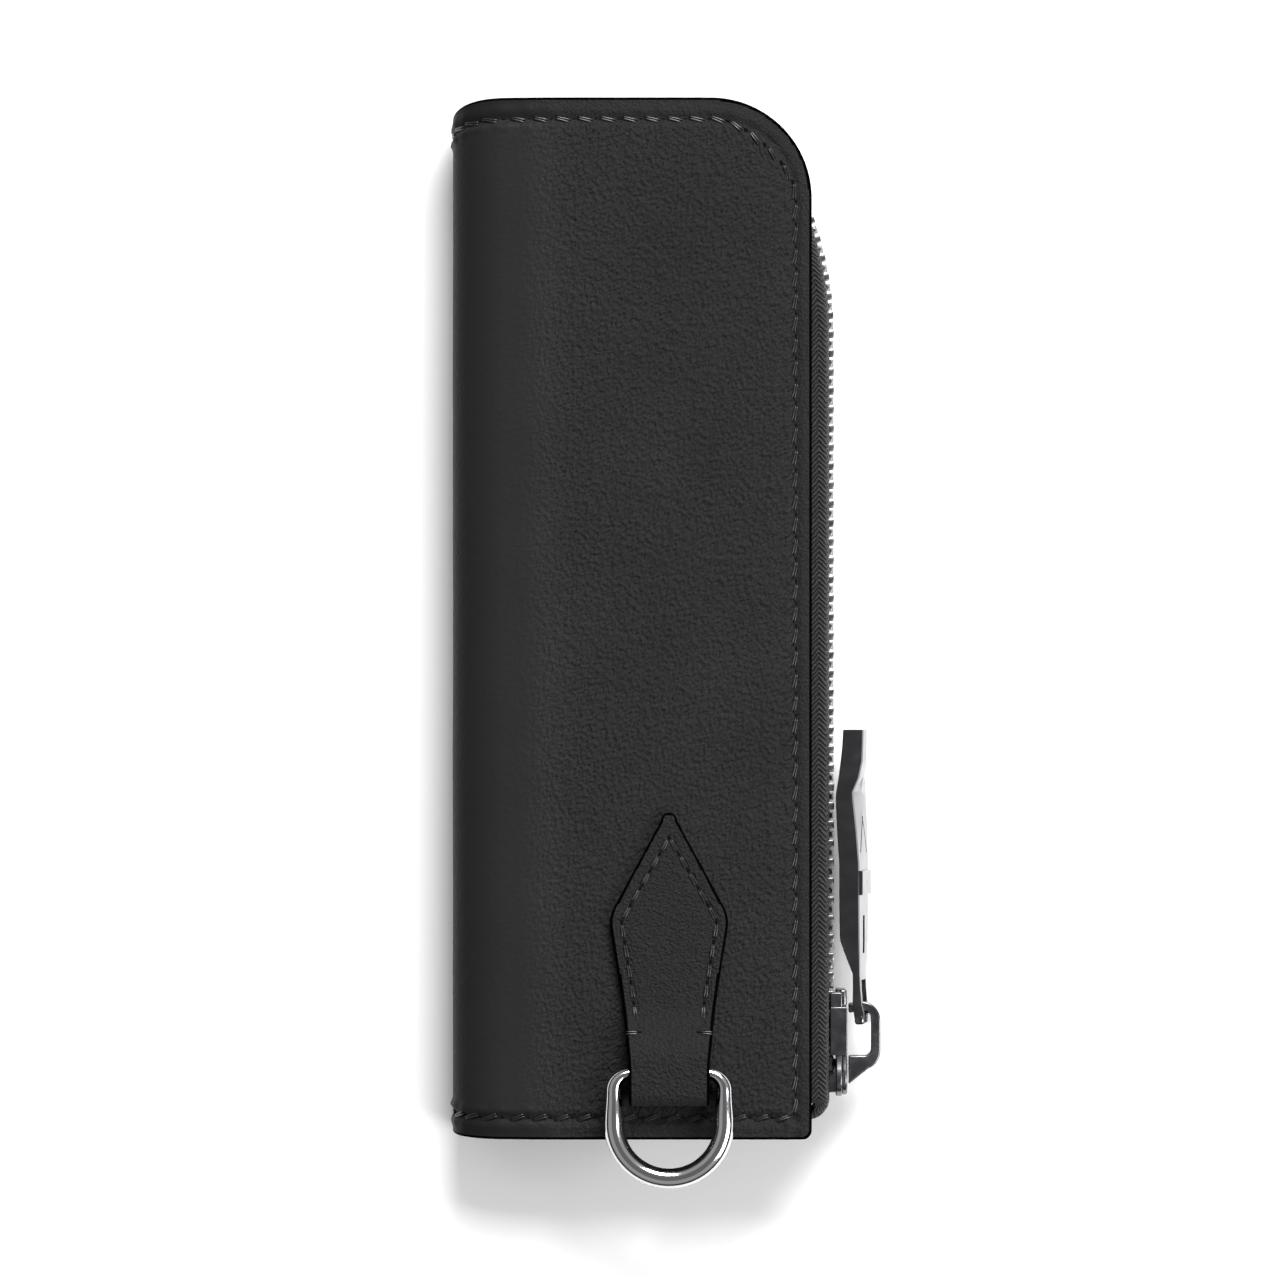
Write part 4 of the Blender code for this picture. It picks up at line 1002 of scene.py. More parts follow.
def sewn(name, tracks, slant, length):
    """Stitches and painted hole shadows along tracks, each a list of (hole, thread, next hole) places with
    their way up.
    """
    threads, holes = [], []
    for hole, middle, ahead, up in tracks:
        heading = Matrix.Rotation(slant, 3, up) @ (ahead - hole)
        threads.append(tangent_frame(middle + up * 0.2 * MM, heading, up))
        holes.append(tangent_frame(hole + up * 0.02 * MM, heading, up))
    stitches = copies(stitch_pattern(name, length), threads)
    # Painted shadow: a dark oval at each needle hole.
    hole_shadow_copies = copies(hole_shadow_pattern(name + "_holes"), holes)
    for piece in stitches:
        painted(piece, finish_for("waxed_polyester_thread", waxed_thread))
    for piece in hole_shadow_copies:
        painted(piece, finish_for("needle_hole_shadow", hole_shadow_finish))
    return join(name, stitches + hole_shadow_copies)


def seam_track(side, place, count, pitch, lean):
    """The stitches of one seam of the fold on the front, with side 1, or the back, with side -1."""
    pitches = seam_pitches()

    def on_leather(s):
        p, y = place(s)
        return fold_point(side * p, y, 0.0, pitches)

    track = []
    for k in range(count):
        here, middle, ahead = (on_leather((k + share) * pitch) for share in (0.0, 0.5, 1.0))
        p, y = place((k + 0.5) * pitch)
        inner = fold_point(side * max(p - 0.4 * MM, 0.0), y, 0.0, None)
        outer = fold_point(side * p, y + 0.4 * MM, 0.0, None)
        base = fold_point(side * p, y, 0.0, None)
        up = (inner - base).cross(outer - base).normalized()
        if up.dot(base - Vector((SPINE_X, base.y, MID_Z))) < 0:
            up = -up
        across = up.cross(ahead - here).normalized()
        track.append((here + across * lean * side, middle, ahead + across * lean * side, up))
    return track


def make_seams():
    """Four seams: over the top and down the side, and along the foot, on the front and on the back."""
    long_pitch, foot_pitch = seam_pitches()
    made = []
    for word, side in (("front", 1), ("back", -1)):
        track = seam_track(side, long_seam_place, round(LONG_SEAM / long_pitch), long_pitch, 0.22 * MM)
        made.append((sewn(word + "_edge_stitching", track, math.radians(-13 * side), 2.7 * MM),
                     "seam_%s_long" % word))
        track = seam_track(side, lambda s: (s, FOOT + SEAM_END), round(FOOT_SEAM / foot_pitch), foot_pitch,
                           0.0)
        made.append((sewn(word + "_foot_stitching", track, math.radians(20 * side), 2.6 * MM),
                     "seam_%s_bottom" % word))
    return made


def tab_spot(x, up):
    return Vector((TAB_X + x, TAB_LOW.y + up, tab_height(up) + TAB_LEATHER / 2 + tab_relief(x, up)))


def make_tab_stitches():
    upper = (TAB_APEX, TAB_WIDEST - 0.7 * MM, 5)
    lower = (TAB_WIDEST - 0.7 * MM, TAB_SEAM_FOOT, 5)
    track = []
    for side in (-1, 1):
        for start, end, count in (upper, lower):
            step = (end - start) / count
            for k in range(count):
                ups = [start + step * (k + share) for share in (0.0, 0.5, 1.0)]
                spots = [tab_spot(side * tab_seam_half(up), up) for up in ups]
                track.append((*spots, Vector((0, 0, 1))))
    outline = sewn("tab_stitching", track, 0.0, 2.2 * MM)
    tacks = []
    up = TAB_NECK - 0.3 * MM
    for word, side in (("left", -1), ("right", 1)):
        outer = tab_width(up) + 0.1 * MM
        spots = [tab_spot(side * (outer - d * MM), up) for d in (0.0, 1.1, 2.4)]
        tack = sewn("tab_tack_" + word, [(spots[2], spots[1], spots[0], Vector((0, 0, 1)))], 0.0, 2.0 * MM)
        tacks.append((tack, "tack_" + word))
    return [(outline, "seam_tab")] + tacks


# Inside the case.


def wall_section(half):
    """(distance in from the edge, height) across an end wall: two glued flanges and a tucked-in middle."""
    flange, tuck, edge = 4.3 * MM, 2.7 * MM, 0.4 * MM
    folded = [(flange + tuck * math.cos(t), half * math.sin(t))
              for t in (math.radians(a) for a in range(80, -81, -10))]
    soft = [(flange * k / 6 + edge * (1 - k / 6), half) for k in range(7)]
    return soft + folded + [(d, -half) for d, _ in reversed(soft)]


def wall_half(x):
    """The wall's half height, which follows the inside of the spine."""
    full = HALF_DEPTH - BORDER_DROP - LEATHER
    into = max(SPINE_X - x, 0.0) / (HALF_DEPTH - LEATHER - 0.25 * MM)
    return full * math.sqrt(max(1 - into**2, 0.0)) - 0.65 * MM


def wall_path(end, side, last_x):
    """(point on the cut edge, way inwards) along a straight end."""
    places = spaced(SHELL_LOW.x + 3.4 * MM, SPINE_X, 0.3 * MM) + spaced(SPINE_X, last_x, 1.2 * MM)[1:]
    path = []
    for x in places:
        turned = 1 - math.sqrt(max(1 - (max(SPINE_X - x, 0.0) / HALF_DEPTH) ** 2, 0.0))
        path.append((Vector((x, end + spine_dip(turned, end), 0)), Vector((0, -side, 0))))
    return path


def end_wall(name, path):
    """A gusset swept along its path, with the slack creases that folded leather takes."""
    run = [0.0]
    for before, after in zip(path, path[1:]):
        run.append(run[-1] + (after[0] - before[0]).length)
    count = len(wall_section(MM))
    half_thick = 0.38 * MM

    def point(i, j, face):
        edge, inward = path[j]
        section = wall_section(wall_half(edge.x))
        before, after = section[max(i - 1, 0)], section[min(i + 1, count - 1)]
        way = Vector((-(after[1] - before[1]), after[0] - before[0])).normalized()
        distance, height = section[i]
        slack = 0.16 * MM * noise.noise(Vector((run[j] / (5 * MM), i * 0.3, 2.0))) * hump(height, 4 * MM)
        offset = (half_thick if face else -half_thick) + slack
        spot = edge + inward * (distance + way.x * offset)
        sunk = roll_drop(edge.x) * max(height, 0.0) / max(section[0][1], MM)
        return Vector((spot.x, spot.y, MID_Z + height - sunk + way.y * offset))

    piece = cut_sheet(name, list(range(count)), list(range(len(path))), lambda i, j: point(i, j, True),
                      lambda i, j: point(i, j, False), lambda i, j: (i * 0.9 * MM, run[j]), lambda i, j: FACE)
    return painted(face_outwards(piece), tab_calf(), edge_paint())


WALL_SWEEP = 58     # degrees that the top wall goes round the rounded corner
WALL_STEPS = 16


def make_end_walls():
    centre = Vector((RIGHT - CORNER, TOP - CORNER, 0))
    top = wall_path(TOP, 1, centre.x)
    for k in range(1, WALL_STEPS + 1):
        angle = math.radians(90 - WALL_SWEEP * k / WALL_STEPS)
        outward = Vector((math.cos(angle), math.sin(angle), 0))
        top.append((centre + outward * CORNER, -outward))
    return [(end_wall("top_end_gusset", top), "end_wall_top"),
            (end_wall("foot_end_gusset", wall_path(FOOT, -1, RIGHT - 1.3 * MM)), "end_wall_bottom")]


def chain_x(y):
    """The middle of the tape: straight, then bending inwards below the rounded corner."""
    past = max(y - CHAIN_TURN_Y, 0.0)
    return CHAIN_X - past**2 / (2 * CHAIN_TURN_RADIUS)


def make_lining():
    low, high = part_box("lining")
    half = high.z - MID_Z
    corner_y = TOP - CORNER
    inner_corner = CORNER - 7.65 * MM
    spine_in = SPINE_X - low.x
    turn = half * math.pi / 2
    shares = [k / 10 for k in range(11)]
    across = [-1 - s for s in reversed(shares)] + spaced(-0.95, 0.95, 0.05) + [1 + s for s in shares]
    along = in_order(spaced(low.y, corner_y, 4 * MM), spaced(corner_y, high.y, 0.8 * MM))

    def right_of(y):
        if y < corner_y:
            return min(RIGHT - 1.0 * MM, chain_x(y) - TAPE_BEND - TAPE - 0.25 * MM)
        return RIGHT - CORNER + math.sqrt(max(inner_corner**2 - (y - corner_y) ** 2, 0.0))

    def point(i, j, inset):
        u, y = across[i], along[j]
        side = 1 if u >= 0 else -1
        if abs(u) < 1:
            angle = abs(u) * math.pi / 2
            return Vector((SPINE_X - (spine_in - inset) * math.cos(angle), y,
                           MID_Z + side * (half - inset) * math.sin(angle)))
        x = SPINE_X + (right_of(y) - SPINE_X) * (abs(u) - 1)
        ripple = 0.06 * MM * noise.noise(Vector((x, y, side * 0.4)) / (9 * MM)) * smooth((abs(u) - 1) * 6)
        return Vector((x, y, MID_Z + side * (half - inset - abs(ripple))))

    def flat(i, j):
        u = across[i]
        side = 1 if u >= 0 else -1
        return (side * (min(abs(u), 1) * turn + max(abs(u) - 1, 0) * (RIGHT - SPINE_X)), along[j])

    piece = cut_sheet("lining_skin", across, along, lambda i, j: point(i, j, 0.0),
                      lambda i, j: point(i, j, 0.4 * MM), flat, lambda i, j: FACE)
    painted(piece, finish_for("buffed_lining_skin", lining_skin))
    return piece, (2 * (turn + RIGHT - 1.0 * MM - SPINE_X), high.y - low.y)


# The zip.


def tape_section():
    """From the bead to the turned-in edge: (way out from the tape's plane, height, share of the curl)."""
    bead = 1.35 * MM
    bend_z = TAPE_HALF - TAPE_BEND
    section = [(0.0, z, 1.0) for z in spaced(bead, bend_z, 0.3 * MM)]
    for step in range(1, 9):
        angle = math.radians(90 * step / 8)
        section.append((-TAPE_BEND * (1 - math.cos(angle)), bend_z + TAPE_BEND * math.sin(angle),
                        1 - 0.8 * step / 8))
    return section + [(None, TAPE_HALF, share) for share in (0.25, 0.5, 0.75, 1.0)]


def make_tape(name, side):
    """A tape from under the panel's edge round to the teeth, with its end curled back under at the foot."""
    section = tape_section()
    far_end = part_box("zip_tape_front")[1].y
    curl_y = FOOT + 6.3 * MM
    rows = [(curl_y, math.radians(a)) for a in range(90, 0, -10)]
    rows += [(y, 0.0) for y in spaced(curl_y, far_end, 1.0 * MM)]
    bend_end = [s for s in section if s[0] is not None][-1]

    def middle(i, j):
        y, angle = rows[j]
        out, height, follow = section[i]
        if out is None:
            edge_x = chain_x(y) + bend_end[0]
            x = edge_x + (TAPE_TURN_IN_X - edge_x) * follow
            follow = 0.2
        else:
            x = chain_x(y) + out
        x -= follow * TAPE_CURL * (1 - math.cos(angle))
        y -= follow * TAPE_CURL * math.sin(angle)
        return Vector((x, y, MID_Z + side * height))

    def way(i, j):
        last, count = len(section) - 1, len(rows) - 1
        along_row = middle(min(i + 1, last), j) - middle(max(i - 1, 0), j)
        up_row = middle(i, min(j + 1, count)) - middle(i, max(j - 1, 0))
        return along_row.cross(up_row).normalized() * side

    def thick(i):
        """A cord is woven into the edge that the teeth grip."""
        return TAPE / 2 + 0.2 * MM * hump(section[i][1] - 1.7 * MM, 0.35 * MM) * (section[i][0] == 0.0)

    straight_row = 20
    widths, runs = [0.0], [0.0]
    for i in range(1, len(section)):
        widths.append(widths[-1] + (middle(i, straight_row) - middle(i - 1, straight_row)).length)
    for j in range(1, len(rows)):
        runs.append(runs[-1] + (middle(0, j) - middle(0, j - 1)).length)
    piece = cut_sheet(name, section, rows, lambda i, j: middle(i, j) - way(i, j) * thick(i),
                      lambda i, j: middle(i, j) + way(i, j) * thick(i), lambda i, j: (widths[i], runs[j]),
                      lambda i, j: FACE)
    painted(face_outwards(piece), finish_for("herringbone_polyester_tape", woven_tape))
    return piece, (widths[-1], runs[-1])


def tooth_pattern(name):
    """One tooth, its head at the chain's middle: two legs round the tape's cord, and a narrower head."""
    half_thick, half_long, neck_z, leg_z = 1.15 * MM, 0.62 * MM, 1.25 * MM, 2.6 * MM
    shoulder, head = 0.55 * MM, 1.55 * MM
    legs = block(name, (-half_thick, -half_long, neck_z), (half_thick, half_long, leg_z))
    edit(legs)
    choose(legs, "FACE", lambda co, normal: normal.z < -0.9)
    extrude((0, 0, -shoulder))
    resize((0.82, 0.8, 1), (0, 0, neck_z - shoulder))
    extrude((0, 0, -head))
    resize((0.92, 0.85, 1), (0, 0, neck_z - shoulder - head))
    leave_edit()
    return soften(legs, 0.16 * MM, 2, 25)


def make_teeth(name, node, side):
    """A row of teeth, one every pitch, turned with the chain where it bends."""
    low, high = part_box(node)
    half_tooth = 0.6 * MM
    count = int((high.y - low.y - half_tooth) / TOOTH_PITCH) + 1
    places = []
    for k in range(count):
        y = low.y + half_tooth + k * TOOTH_PITCH
        lean = max(y - CHAIN_TURN_Y, 0.0) / CHAIN_TURN_RADIUS
        upside = Matrix.Identity(4) if side > 0 else Matrix.Rotation(math.pi, 4, "Y")
        places.append(Matrix.Translation((chain_x(y), y, MID_Z)) @ Matrix.Rotation(lean, 4, "Z") @ upside)
    return painted(join(name, copies(tooth_pattern(name), places)), tooth_metal())


def make_stop(name, node, waist):
    """A stop pressed round the tape's edge, pinched at its waist."""
    low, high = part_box(node)
    piece = block(name, low, high)
    middle = (low + high) / 2
    edit(piece)
    bpy.ops.mesh.select_all(action="SELECT")
    bpy.ops.mesh.bisect(plane_co=middle, plane_no=(0, 1, 0), use_fill=False)
    resize((waist, 1, waist), middle)
    leave_edit()
    return painted(soften(piece, 0.22 * MM, 3, 15), tooth_metal())


def plate_outline(half_tail, half_mouth, tail, mouth, flange_foot):
    """The outline of a slider's plate: straight sides that widen to a rounded mouth."""
    corner, round_mouth = 1.2 * MM, 2.6 * MM
    side = arc((half_tail - corner, tail - corner), corner, 90, 0, 6)
    side += [(half_tail, flange_foot), (half_mouth, flange_foot - 2 * MM)]
    side += arc((half_mouth - round_mouth, mouth + round_mouth), round_mouth, 0, -90, 8)
    return side + [(-x, y) for x, y in reversed(side)]


# Stands a drawn plate on edge, with its depth along X and its width along Z.
STAND_UP = Matrix(((0, 0, 1, 0), (0, 1, 0, 0), (-1, 0, 0, 0), (0, 0, 0, 1)))


# The slider's casting: a plate on each side of the chain, and flanges that close in over the chain's edges.
TAIL_HALF = 4.1 * MM
FLANGE_LENGTH = 10.5 * MM
FLANGE_WALL = 0.95 * MM
CHANNEL_HALF = 1.45 * MM    # from the chain's middle to each plate
INNER_PLATE = 0.95 * MM
TAPE_SLOT_HALF = 0.5 * MM
DIVIDER_HALF = 1.1 * MM
SHY = 0.05 * MM             # how far two parts of the casting keep their faces from one plane
SEAT_LENGTH = 2.75 * MM
SEAT_HALF = 3.6 * MM


def stood_plate(name, outline, depth, start):
    """A drawn plate on edge, with its near face that far from the chain's middle."""
    plate = drawn_plate(name, outline, depth)
    plate.data.transform(Matrix.Translation((CHAIN_X + start, 0, MID_Z)) @ STAND_UP)
    return plate


def make_slider():
    """A cast slider: two plates, the divider between them and the flanges that keep the chain together."""
    mouth, tail = SLIDER_LOW.y, SLIDER_HIGH.y
    flange_foot = tail - FLANGE_LENGTH
    half_mouth = (SLIDER_HIGH.z - SLIDER_LOW.z) / 2
    plate_out = CHANNEL_HALF + INNER_PLATE
    outer = SLIDER_HIGH.x - CHAIN_X
    outline = plate_outline(TAIL_HALF - 0.3 * MM, half_mouth, tail, mouth, flange_foot)
    slim = plate_outline(TAIL_HALF - 0.5 * MM, half_mouth - 0.4 * MM, tail - 2.9 * MM, mouth + 0.2 * MM,
                         flange_foot)
    parts = []
    for side in (1, -1):
        plate_start, cap_start = (CHANNEL_HALF, plate_out - SHY) if side > 0 else (-plate_out, -outer)
        inner_plate = stood_plate("slider_plate", outline, INNER_PLATE, plate_start)
        cap = stood_plate("slider_cap", slim, outer - plate_out + SHY, cap_start)
        parts += [soften(inner_plate, 0.2 * MM), soften(cap, 0.32 * MM)]
        for front in (1, -1):
            low_z, high_z = sorted((MID_Z + front * (TAIL_HALF - FLANGE_WALL), MID_Z + front * TAIL_HALF))
            for reach, begin, end, shy in ((outer, flange_foot, tail - 2.8 * MM, 0.0),
                                           (plate_out, tail - 3.1 * MM, tail - 0.5 * MM, SHY)):
                low_x, high_x = sorted((CHAIN_X + side * (TAPE_SLOT_HALF + shy), CHAIN_X + side * reach))
                flange = block("slider_flange", (low_x, begin, low_z + shy), (high_x, end, high_z - shy))
                parts.append(soften(flange, 0.16 * MM))
    wedge_foot, wedge_end = flange_foot - 3 * MM, mouth + 0.5 * MM
    wedge = [(0, flange_foot - 0.6 * MM), (DIVIDER_HALF, wedge_foot), (DIVIDER_HALF, wedge_end),
             (-DIVIDER_HALF, wedge_end), (-DIVIDER_HALF, wedge_foot)]
    sunk_in = 0.2 * MM
    divider = stood_plate("slider_divider", wedge, 2 * (CHANNEL_HALF + sunk_in), -CHANNEL_HALF - sunk_in)
    parts.append(soften(divider, 0.2 * MM))
    seat = block("crown_seat", (CHAIN_X + CHANNEL_HALF + 0.5 * MM, tail - SEAT_LENGTH, MID_Z - SEAT_HALF),
                 (SLIDER_HIGH.x - 0.1 * MM, tail, MID_Z + SEAT_HALF))
    parts.append(soften(seat, 0.42 * MM, 4))
    piece = level_shading(settle(join("cast_slider", parts)), 35)
    return painted(piece, cast_plate())


def make_crown():
    """The fixed bridge that the pull hangs in: a D-shaped band with a stout lower foot."""
    foot_x, out_x = CROWN_LOW.x, CROWN_HIGH.x
    low, top = CROWN_LOW.y, CROWN_HIGH.y
    band, out_round, in_round = 1.55 * MM, 3.0 * MM, 1.1 * MM
    shoulder = top - 7.9 * MM
    slope, thicker_foot = 0.3 * MM, 0.4 * MM
    out_middle, in_middle = out_x - out_round, out_x - band - in_round
    outline = [(foot_x, low)] + arc((out_middle, shoulder), out_round, -70, 0, 10)
    outline += arc((out_middle, top - out_round), out_round, 0, 90, 14)
    outline += [(foot_x, top - slope), (foot_x, top - band - slope)]
    outline += arc((in_middle, top - band - in_round), in_round, 90, 0, 10)
    outline += arc((in_middle, shoulder + thicker_foot), in_round, 0, -90, 10)
    outline += [(foot_x, shoulder - in_round + thicker_foot)]
    wide = CROWN_HIGH.z - CROWN_LOW.z
    piece = drawn_plate("slider_crown_band", outline, wide)
    piece.data.transform(Matrix.Translation((0, 0, CROWN_LOW.z)))
    settle(piece)
    return painted(level_shading(soften(piece, 0.3 * MM, 3, 50), 50), cast_plate())


# The pull.


# Along the pull: distance from the pivot, back, face and half width, in mm; back and face are from the pivot.
PULL_STATIONS = ((0.3, -0.8, 0.8, 3.3), (1.1, -0.9, 0.75, 3.3), (2.4, -1.1, 0.4, 3.3), (4.8, -1.05, 0.2, 3.3),
                 (7.3, -1.05, 0.1, 3.5), (9.6, -1.9, 0.15, 3.9), (12.4, -2.85, 0.2, 4.4),
                 (13.4, -2.95, 0.2, 4.5), (18.0, -3.0, 0.2, 4.7), (24.8, -3.0, 0.2, 4.8),
                 (30.0, -3.34, 0.1, 4.8), (35.2, -3.57, -0.15, 4.75), (36.2, -3.5, -0.15, 4.75),
                 (38.5, -3.13, 0.15, 4.6), (41.1, -2.83, 0.65, 4.35), (43.6, -2.63, 0.7, 4.05),
                 (46.1, -2.54, 0.7, 3.75))
# Half the pull's section, as shares of its half depth and half width, from its face round to its back.
PULL_SECTION = ((1, 0.0), (1, 0.86), (0.9, 0.94), (-0.1, 1.0), (-0.9, 1.015), (-1, 0.95))
# The bend near its end: distance from the pivot, and how far the near and the far side are filed back, in mm.
KINK = ((30.0, 0.3, 0.0), (35.2, 0.6, 0.0), (36.2, 0.65, 0.0), (38.5, 0.0, 0.35), (41.1, 0.0, 1.0),
        (43.6, 0.0, 1.15), (46.1, 0.0, 1.15))
PULL_START_DEPTH = 0.0005 * MM  # a first sliver, whose face is then drawn out along the stations
GROOVE_ALONG, GROOVE_LEAN = 31.8 * MM, 62
# Blocks cut from the pull or added to it: their corners, in mm from its pivot or from the grooves' V.
PULL_WINDOW = (-6, 0.95, -2.05), (6, 6.3, 2.05)
PULL_SLOT = (-0.9, 10.5, -0.8), (6, 16.5, 0.8)
PULL_GROOVE = (-0.15, -0.2, -0.5), (6, 0.2, 6)
PULL_PLAQUE = (-0.35, 19.8, -4.2), (0.72, 23.7, 4.2)
PULL_BAR = (-0.8, -0.8, -3.3), (0.8, 0.8, 3.3)


def pull_block(name, corners):
    return block(name, *(Vector(corner) * MM for corner in corners))


def make_pull():
    """A long nib-shaped pull: a bar in the crown, two arms, and a body with a flat face and faceted sides."""
    stations = [tuple(value * MM for value in station) for station in PULL_STATIONS]
    start, back, face, half = stations[0]
    centre, deep = (back + face) / 2, (face - back) / 2
    ring = PULL_SECTION + tuple((x, -z) for x, z in reversed(PULL_SECTION[1:]))
    piece = drawn_plate("nib_pull", [(centre + x * deep, z * half) for x, z in ring], PULL_START_DEPTH)
    lay = Matrix(((1, 0, 0, 0), (0, 0, 1, 0), (0, 1, 0, 0), (0, 0, 0, 1)))
    piece.data.transform(Matrix.Translation((0, start, 0)) @ lay)
    edit(piece)
    choose(piece, "FACE", lambda co, normal: co.y > start + 0.6 * PULL_START_DEPTH)
    for before, (along, back, face, half) in zip(stations, stations[1:]):
        new_centre, new_deep = (back + face) / 2, (face - back) / 2
        extrude((new_centre - centre, along - before[0], 0))
        resize((new_deep / deep, 1, half / before[3]), (new_centre, along, 0))
        centre, deep = new_centre, new_deep
    for along, near_cut, far_cut in KINK:
        for cut, side in ((near_cut, 1), (far_cut, -1)):
            choose(piece, "VERT", lambda co, normal: abs(co.y - along * MM) < 0.05 * MM and co.x > -0.8 * MM
                   and co.z * side > 1 * MM)
            bpy.ops.transform.translate(value=(-cut * MM, 0, 0))
    leave_edit()
    settle(piece)
    cutters = [pull_block("window", PULL_WINDOW), pull_block("slot", PULL_SLOT)]
    for side in (1, -1):
        groove = pull_block("groove", PULL_GROOVE)
        groove.data.transform(Matrix.Translation((0, GROOVE_ALONG, 0))
                              @ Matrix.Rotation(side * math.radians(GROOVE_LEAN), 4, "X")
                              @ Matrix.Diagonal((1, 1, side, 1)))
        cutters.append(settle(groove))
    for cutter in cutters:
        cut = piece.modifiers.new("Cut", "BOOLEAN")
        cut.object = cutter
        cut.operation = "DIFFERENCE"
        bpy.context.view_layer.objects.active = piece
        bpy.ops.object.modifier_apply(modifier=cut.name)
        bpy.data.objects.remove(cutter)
    soften(piece, 0.14 * MM, 3, 16)
    plaque = soften(pull_block("plaque", PULL_PLAQUE), 0.22 * MM)
    bar = soften(pull_block("bar", PULL_BAR), 0.5 * MM, 4)
    whole = join("nib_pull", [piece, plaque, bar])
    whole.data.transform(Matrix.Translation(PULL_PIVOT) @ Matrix.Rotation(-PULL_ROLL, 4, "Y"))
    level_shading(settle(whole), 20)
    return painted(whole, pull_plate())


# The ring.


def ring_stations():
    """Once round from the bar's middle: (x, y, heading in degrees, share of the bow's thickness)."""
    leg = (RING_HIGH.x - RING_LOW.x) / 2 - RING_BOW / 2
    bow_y = RING_LOW.y + RING_BOW / 2 + leg - RING_PIVOT.y
    thin = RING_BAR / RING_BOW
    half = [(x, 0.0, 0.0, thin) for x in spaced(0.0, leg - RING_CORNER, 1.2 * MM)]
    for k, (x, y) in enumerate(arc((leg - RING_CORNER, -RING_CORNER), RING_CORNER, 90, 0, 12)[1:], 1):
        half.append((x, y, -90 * k / 12, thin + (1 - thin) * 0.5 * smooth(k / 12)))
    legs = spaced(-RING_CORNER, bow_y, 0.9 * MM)[1:]
    for k, y in enumerate(legs, 1):
        half.append((leg, y, -90.0, thin + (1 - thin) * (0.5 + 0.5 * smooth(k / len(legs)))))
    for k, (x, y) in enumerate(arc((0, bow_y), leg, 0, -90, 22)[1:], 1):
        half.append((x, y, -90 - 90 * k / 22, 1.0))
    mirrored = [(-x, y, -360 - heading, share) for x, y, heading, share in reversed(half[1:-1])]
    return half + mirrored


def make_ring():
    """A D-ring of round wire, thick round its bow and thinner at the bar, welded shut under the strap."""
    stations = ring_stations()
    _, _, _, thin = stations[0]
    bpy.ops.object.select_all(action="DESELECT")
    bpy.ops.mesh.primitive_circle_add(vertices=28, radius=RING_BOW / 2 * thin, location=RING_PIVOT,
                                      rotation=(0, math.pi / 2, 0))
    ring = active("polished_d_ring")
    bpy.ops.object.transform_apply(location=True, rotation=True)
    edit()
    bpy.ops.mesh.select_all(action="SELECT")
    for before, after in zip(stations, stations[1:]):
        extrude((after[0] - before[0], after[1] - before[1], 0))
        centre = RING_PIVOT + Vector((after[0], after[1], 0))
        turn(math.radians(after[2] - before[2]), "Z", centre)
        grow = after[3] / before[3]
        resize((grow, grow, grow), centre)
    bpy.ops.mesh.select_mode(type="EDGE")
    bpy.ops.mesh.select_all(action="DESELECT")
    bpy.ops.mesh.select_non_manifold()
    bpy.ops.mesh.bridge_edge_loops()
    leave_edit()
    settle(ring)
    bpy.ops.object.shade_smooth()
    return painted(ring, bright_nickel())


# The stage.


def make_floor():
    bpy.ops.object.select_all(action="DESELECT")
    bpy.ops.mesh.primitive_plane_add(size=6, location=(0, 0, SHELL_LOW.z))
    floor = active("studio_floor")
    bpy.ops.object.transform_apply(location=True)
    painted(floor, studio_paper())


def softbox(name, place, side, watts):
    """A square light that faces the origin."""
    light = bpy.data.lights.new(name, "AREA")
    light.shape = "RECTANGLE"
    light.size, light.size_y = side, side
    light.energy = watts
    lamp = bpy.data.objects.new(name, light)
    lamp.location = place
    lamp.rotation_euler = (-Vector(place)).to_track_quat("-Z", "Y").to_euler()
    bpy.context.scene.collection.objects.link(lamp)


def make_lights():
    """A key over the top, a low fill by the zip, and a pale tent with a darker opening for the camera."""
    softbox("key_softbox", place=(0.26, 1.15, 1.1), side=0.8, watts=46.0)
    softbox("low_right_softbox", place=(0.4, -0.2, 0.4), side=0.3, watts=2.4)
    world = bpy.data.worlds.new("studio_room")
    world.use_nodes = True
    tree = world.node_tree
    tree.nodes.clear()
    way = add_node(tree, "TexCoord")
    height = add_node(tree, "SeparateXYZ", {0: way.outputs["Generated"]}).outputs[2]
    walls = add_node(tree, "MapRange", {"Value": height, "From Min": 0.2, "From Max": 0.6, "To Min": 0.03,
                                        "To Max": 0.42}, interpolation_type="SMOOTHSTEP")
    opening = add_node(tree, "MapRange", {"Value": height, "From Min": 0.87, "From Max": 0.94, "To Min": 1.0,
                                          "To Max": 0.42}, interpolation_type="SMOOTHSTEP")
    room = add_node(tree, "Math", {0: walls, 1: opening}, operation="MULTIPLY")
    lit = add_node(tree, "Background", {"Color": (1, 1, 1, 1), "Strength": room})
    add_node(tree, "OutputWorld", {"Surface": lit})
    bpy.context.scene.world = world


def make_camera():
    """Straight above, through a long lens; the view is 202.5 mm wide at the front's height."""
    view_width, distance, aim = 202.5 * MM, 1.4, (1.3 * MM, -3.4 * MM)
    camera = bpy.data.cameras.new("overhead_camera")
    camera.lens = camera.sensor_width * distance / view_width
    holder = bpy.data.objects.new("overhead_camera", camera)
    holder.location = (*aim, SHELL_HIGH.z + distance)
    bpy.context.scene.collection.objects.link(holder)
    bpy.context.scene.camera = holder
    bpy.context.scene.view_settings.view_transform = "Standard"


# Operators.


class PENCASE_OT_leather(bpy.types.Operator):
    """Folds the calf leather round its spine, with its pressed border and puckered seams"""
    bl_idname = "pencase.leather"
    bl_label = "Leather shell"

    def execute(self, context):
        belongs(make_leather(), "case", "calf", "leather_shell")
        return {"FINISHED"}


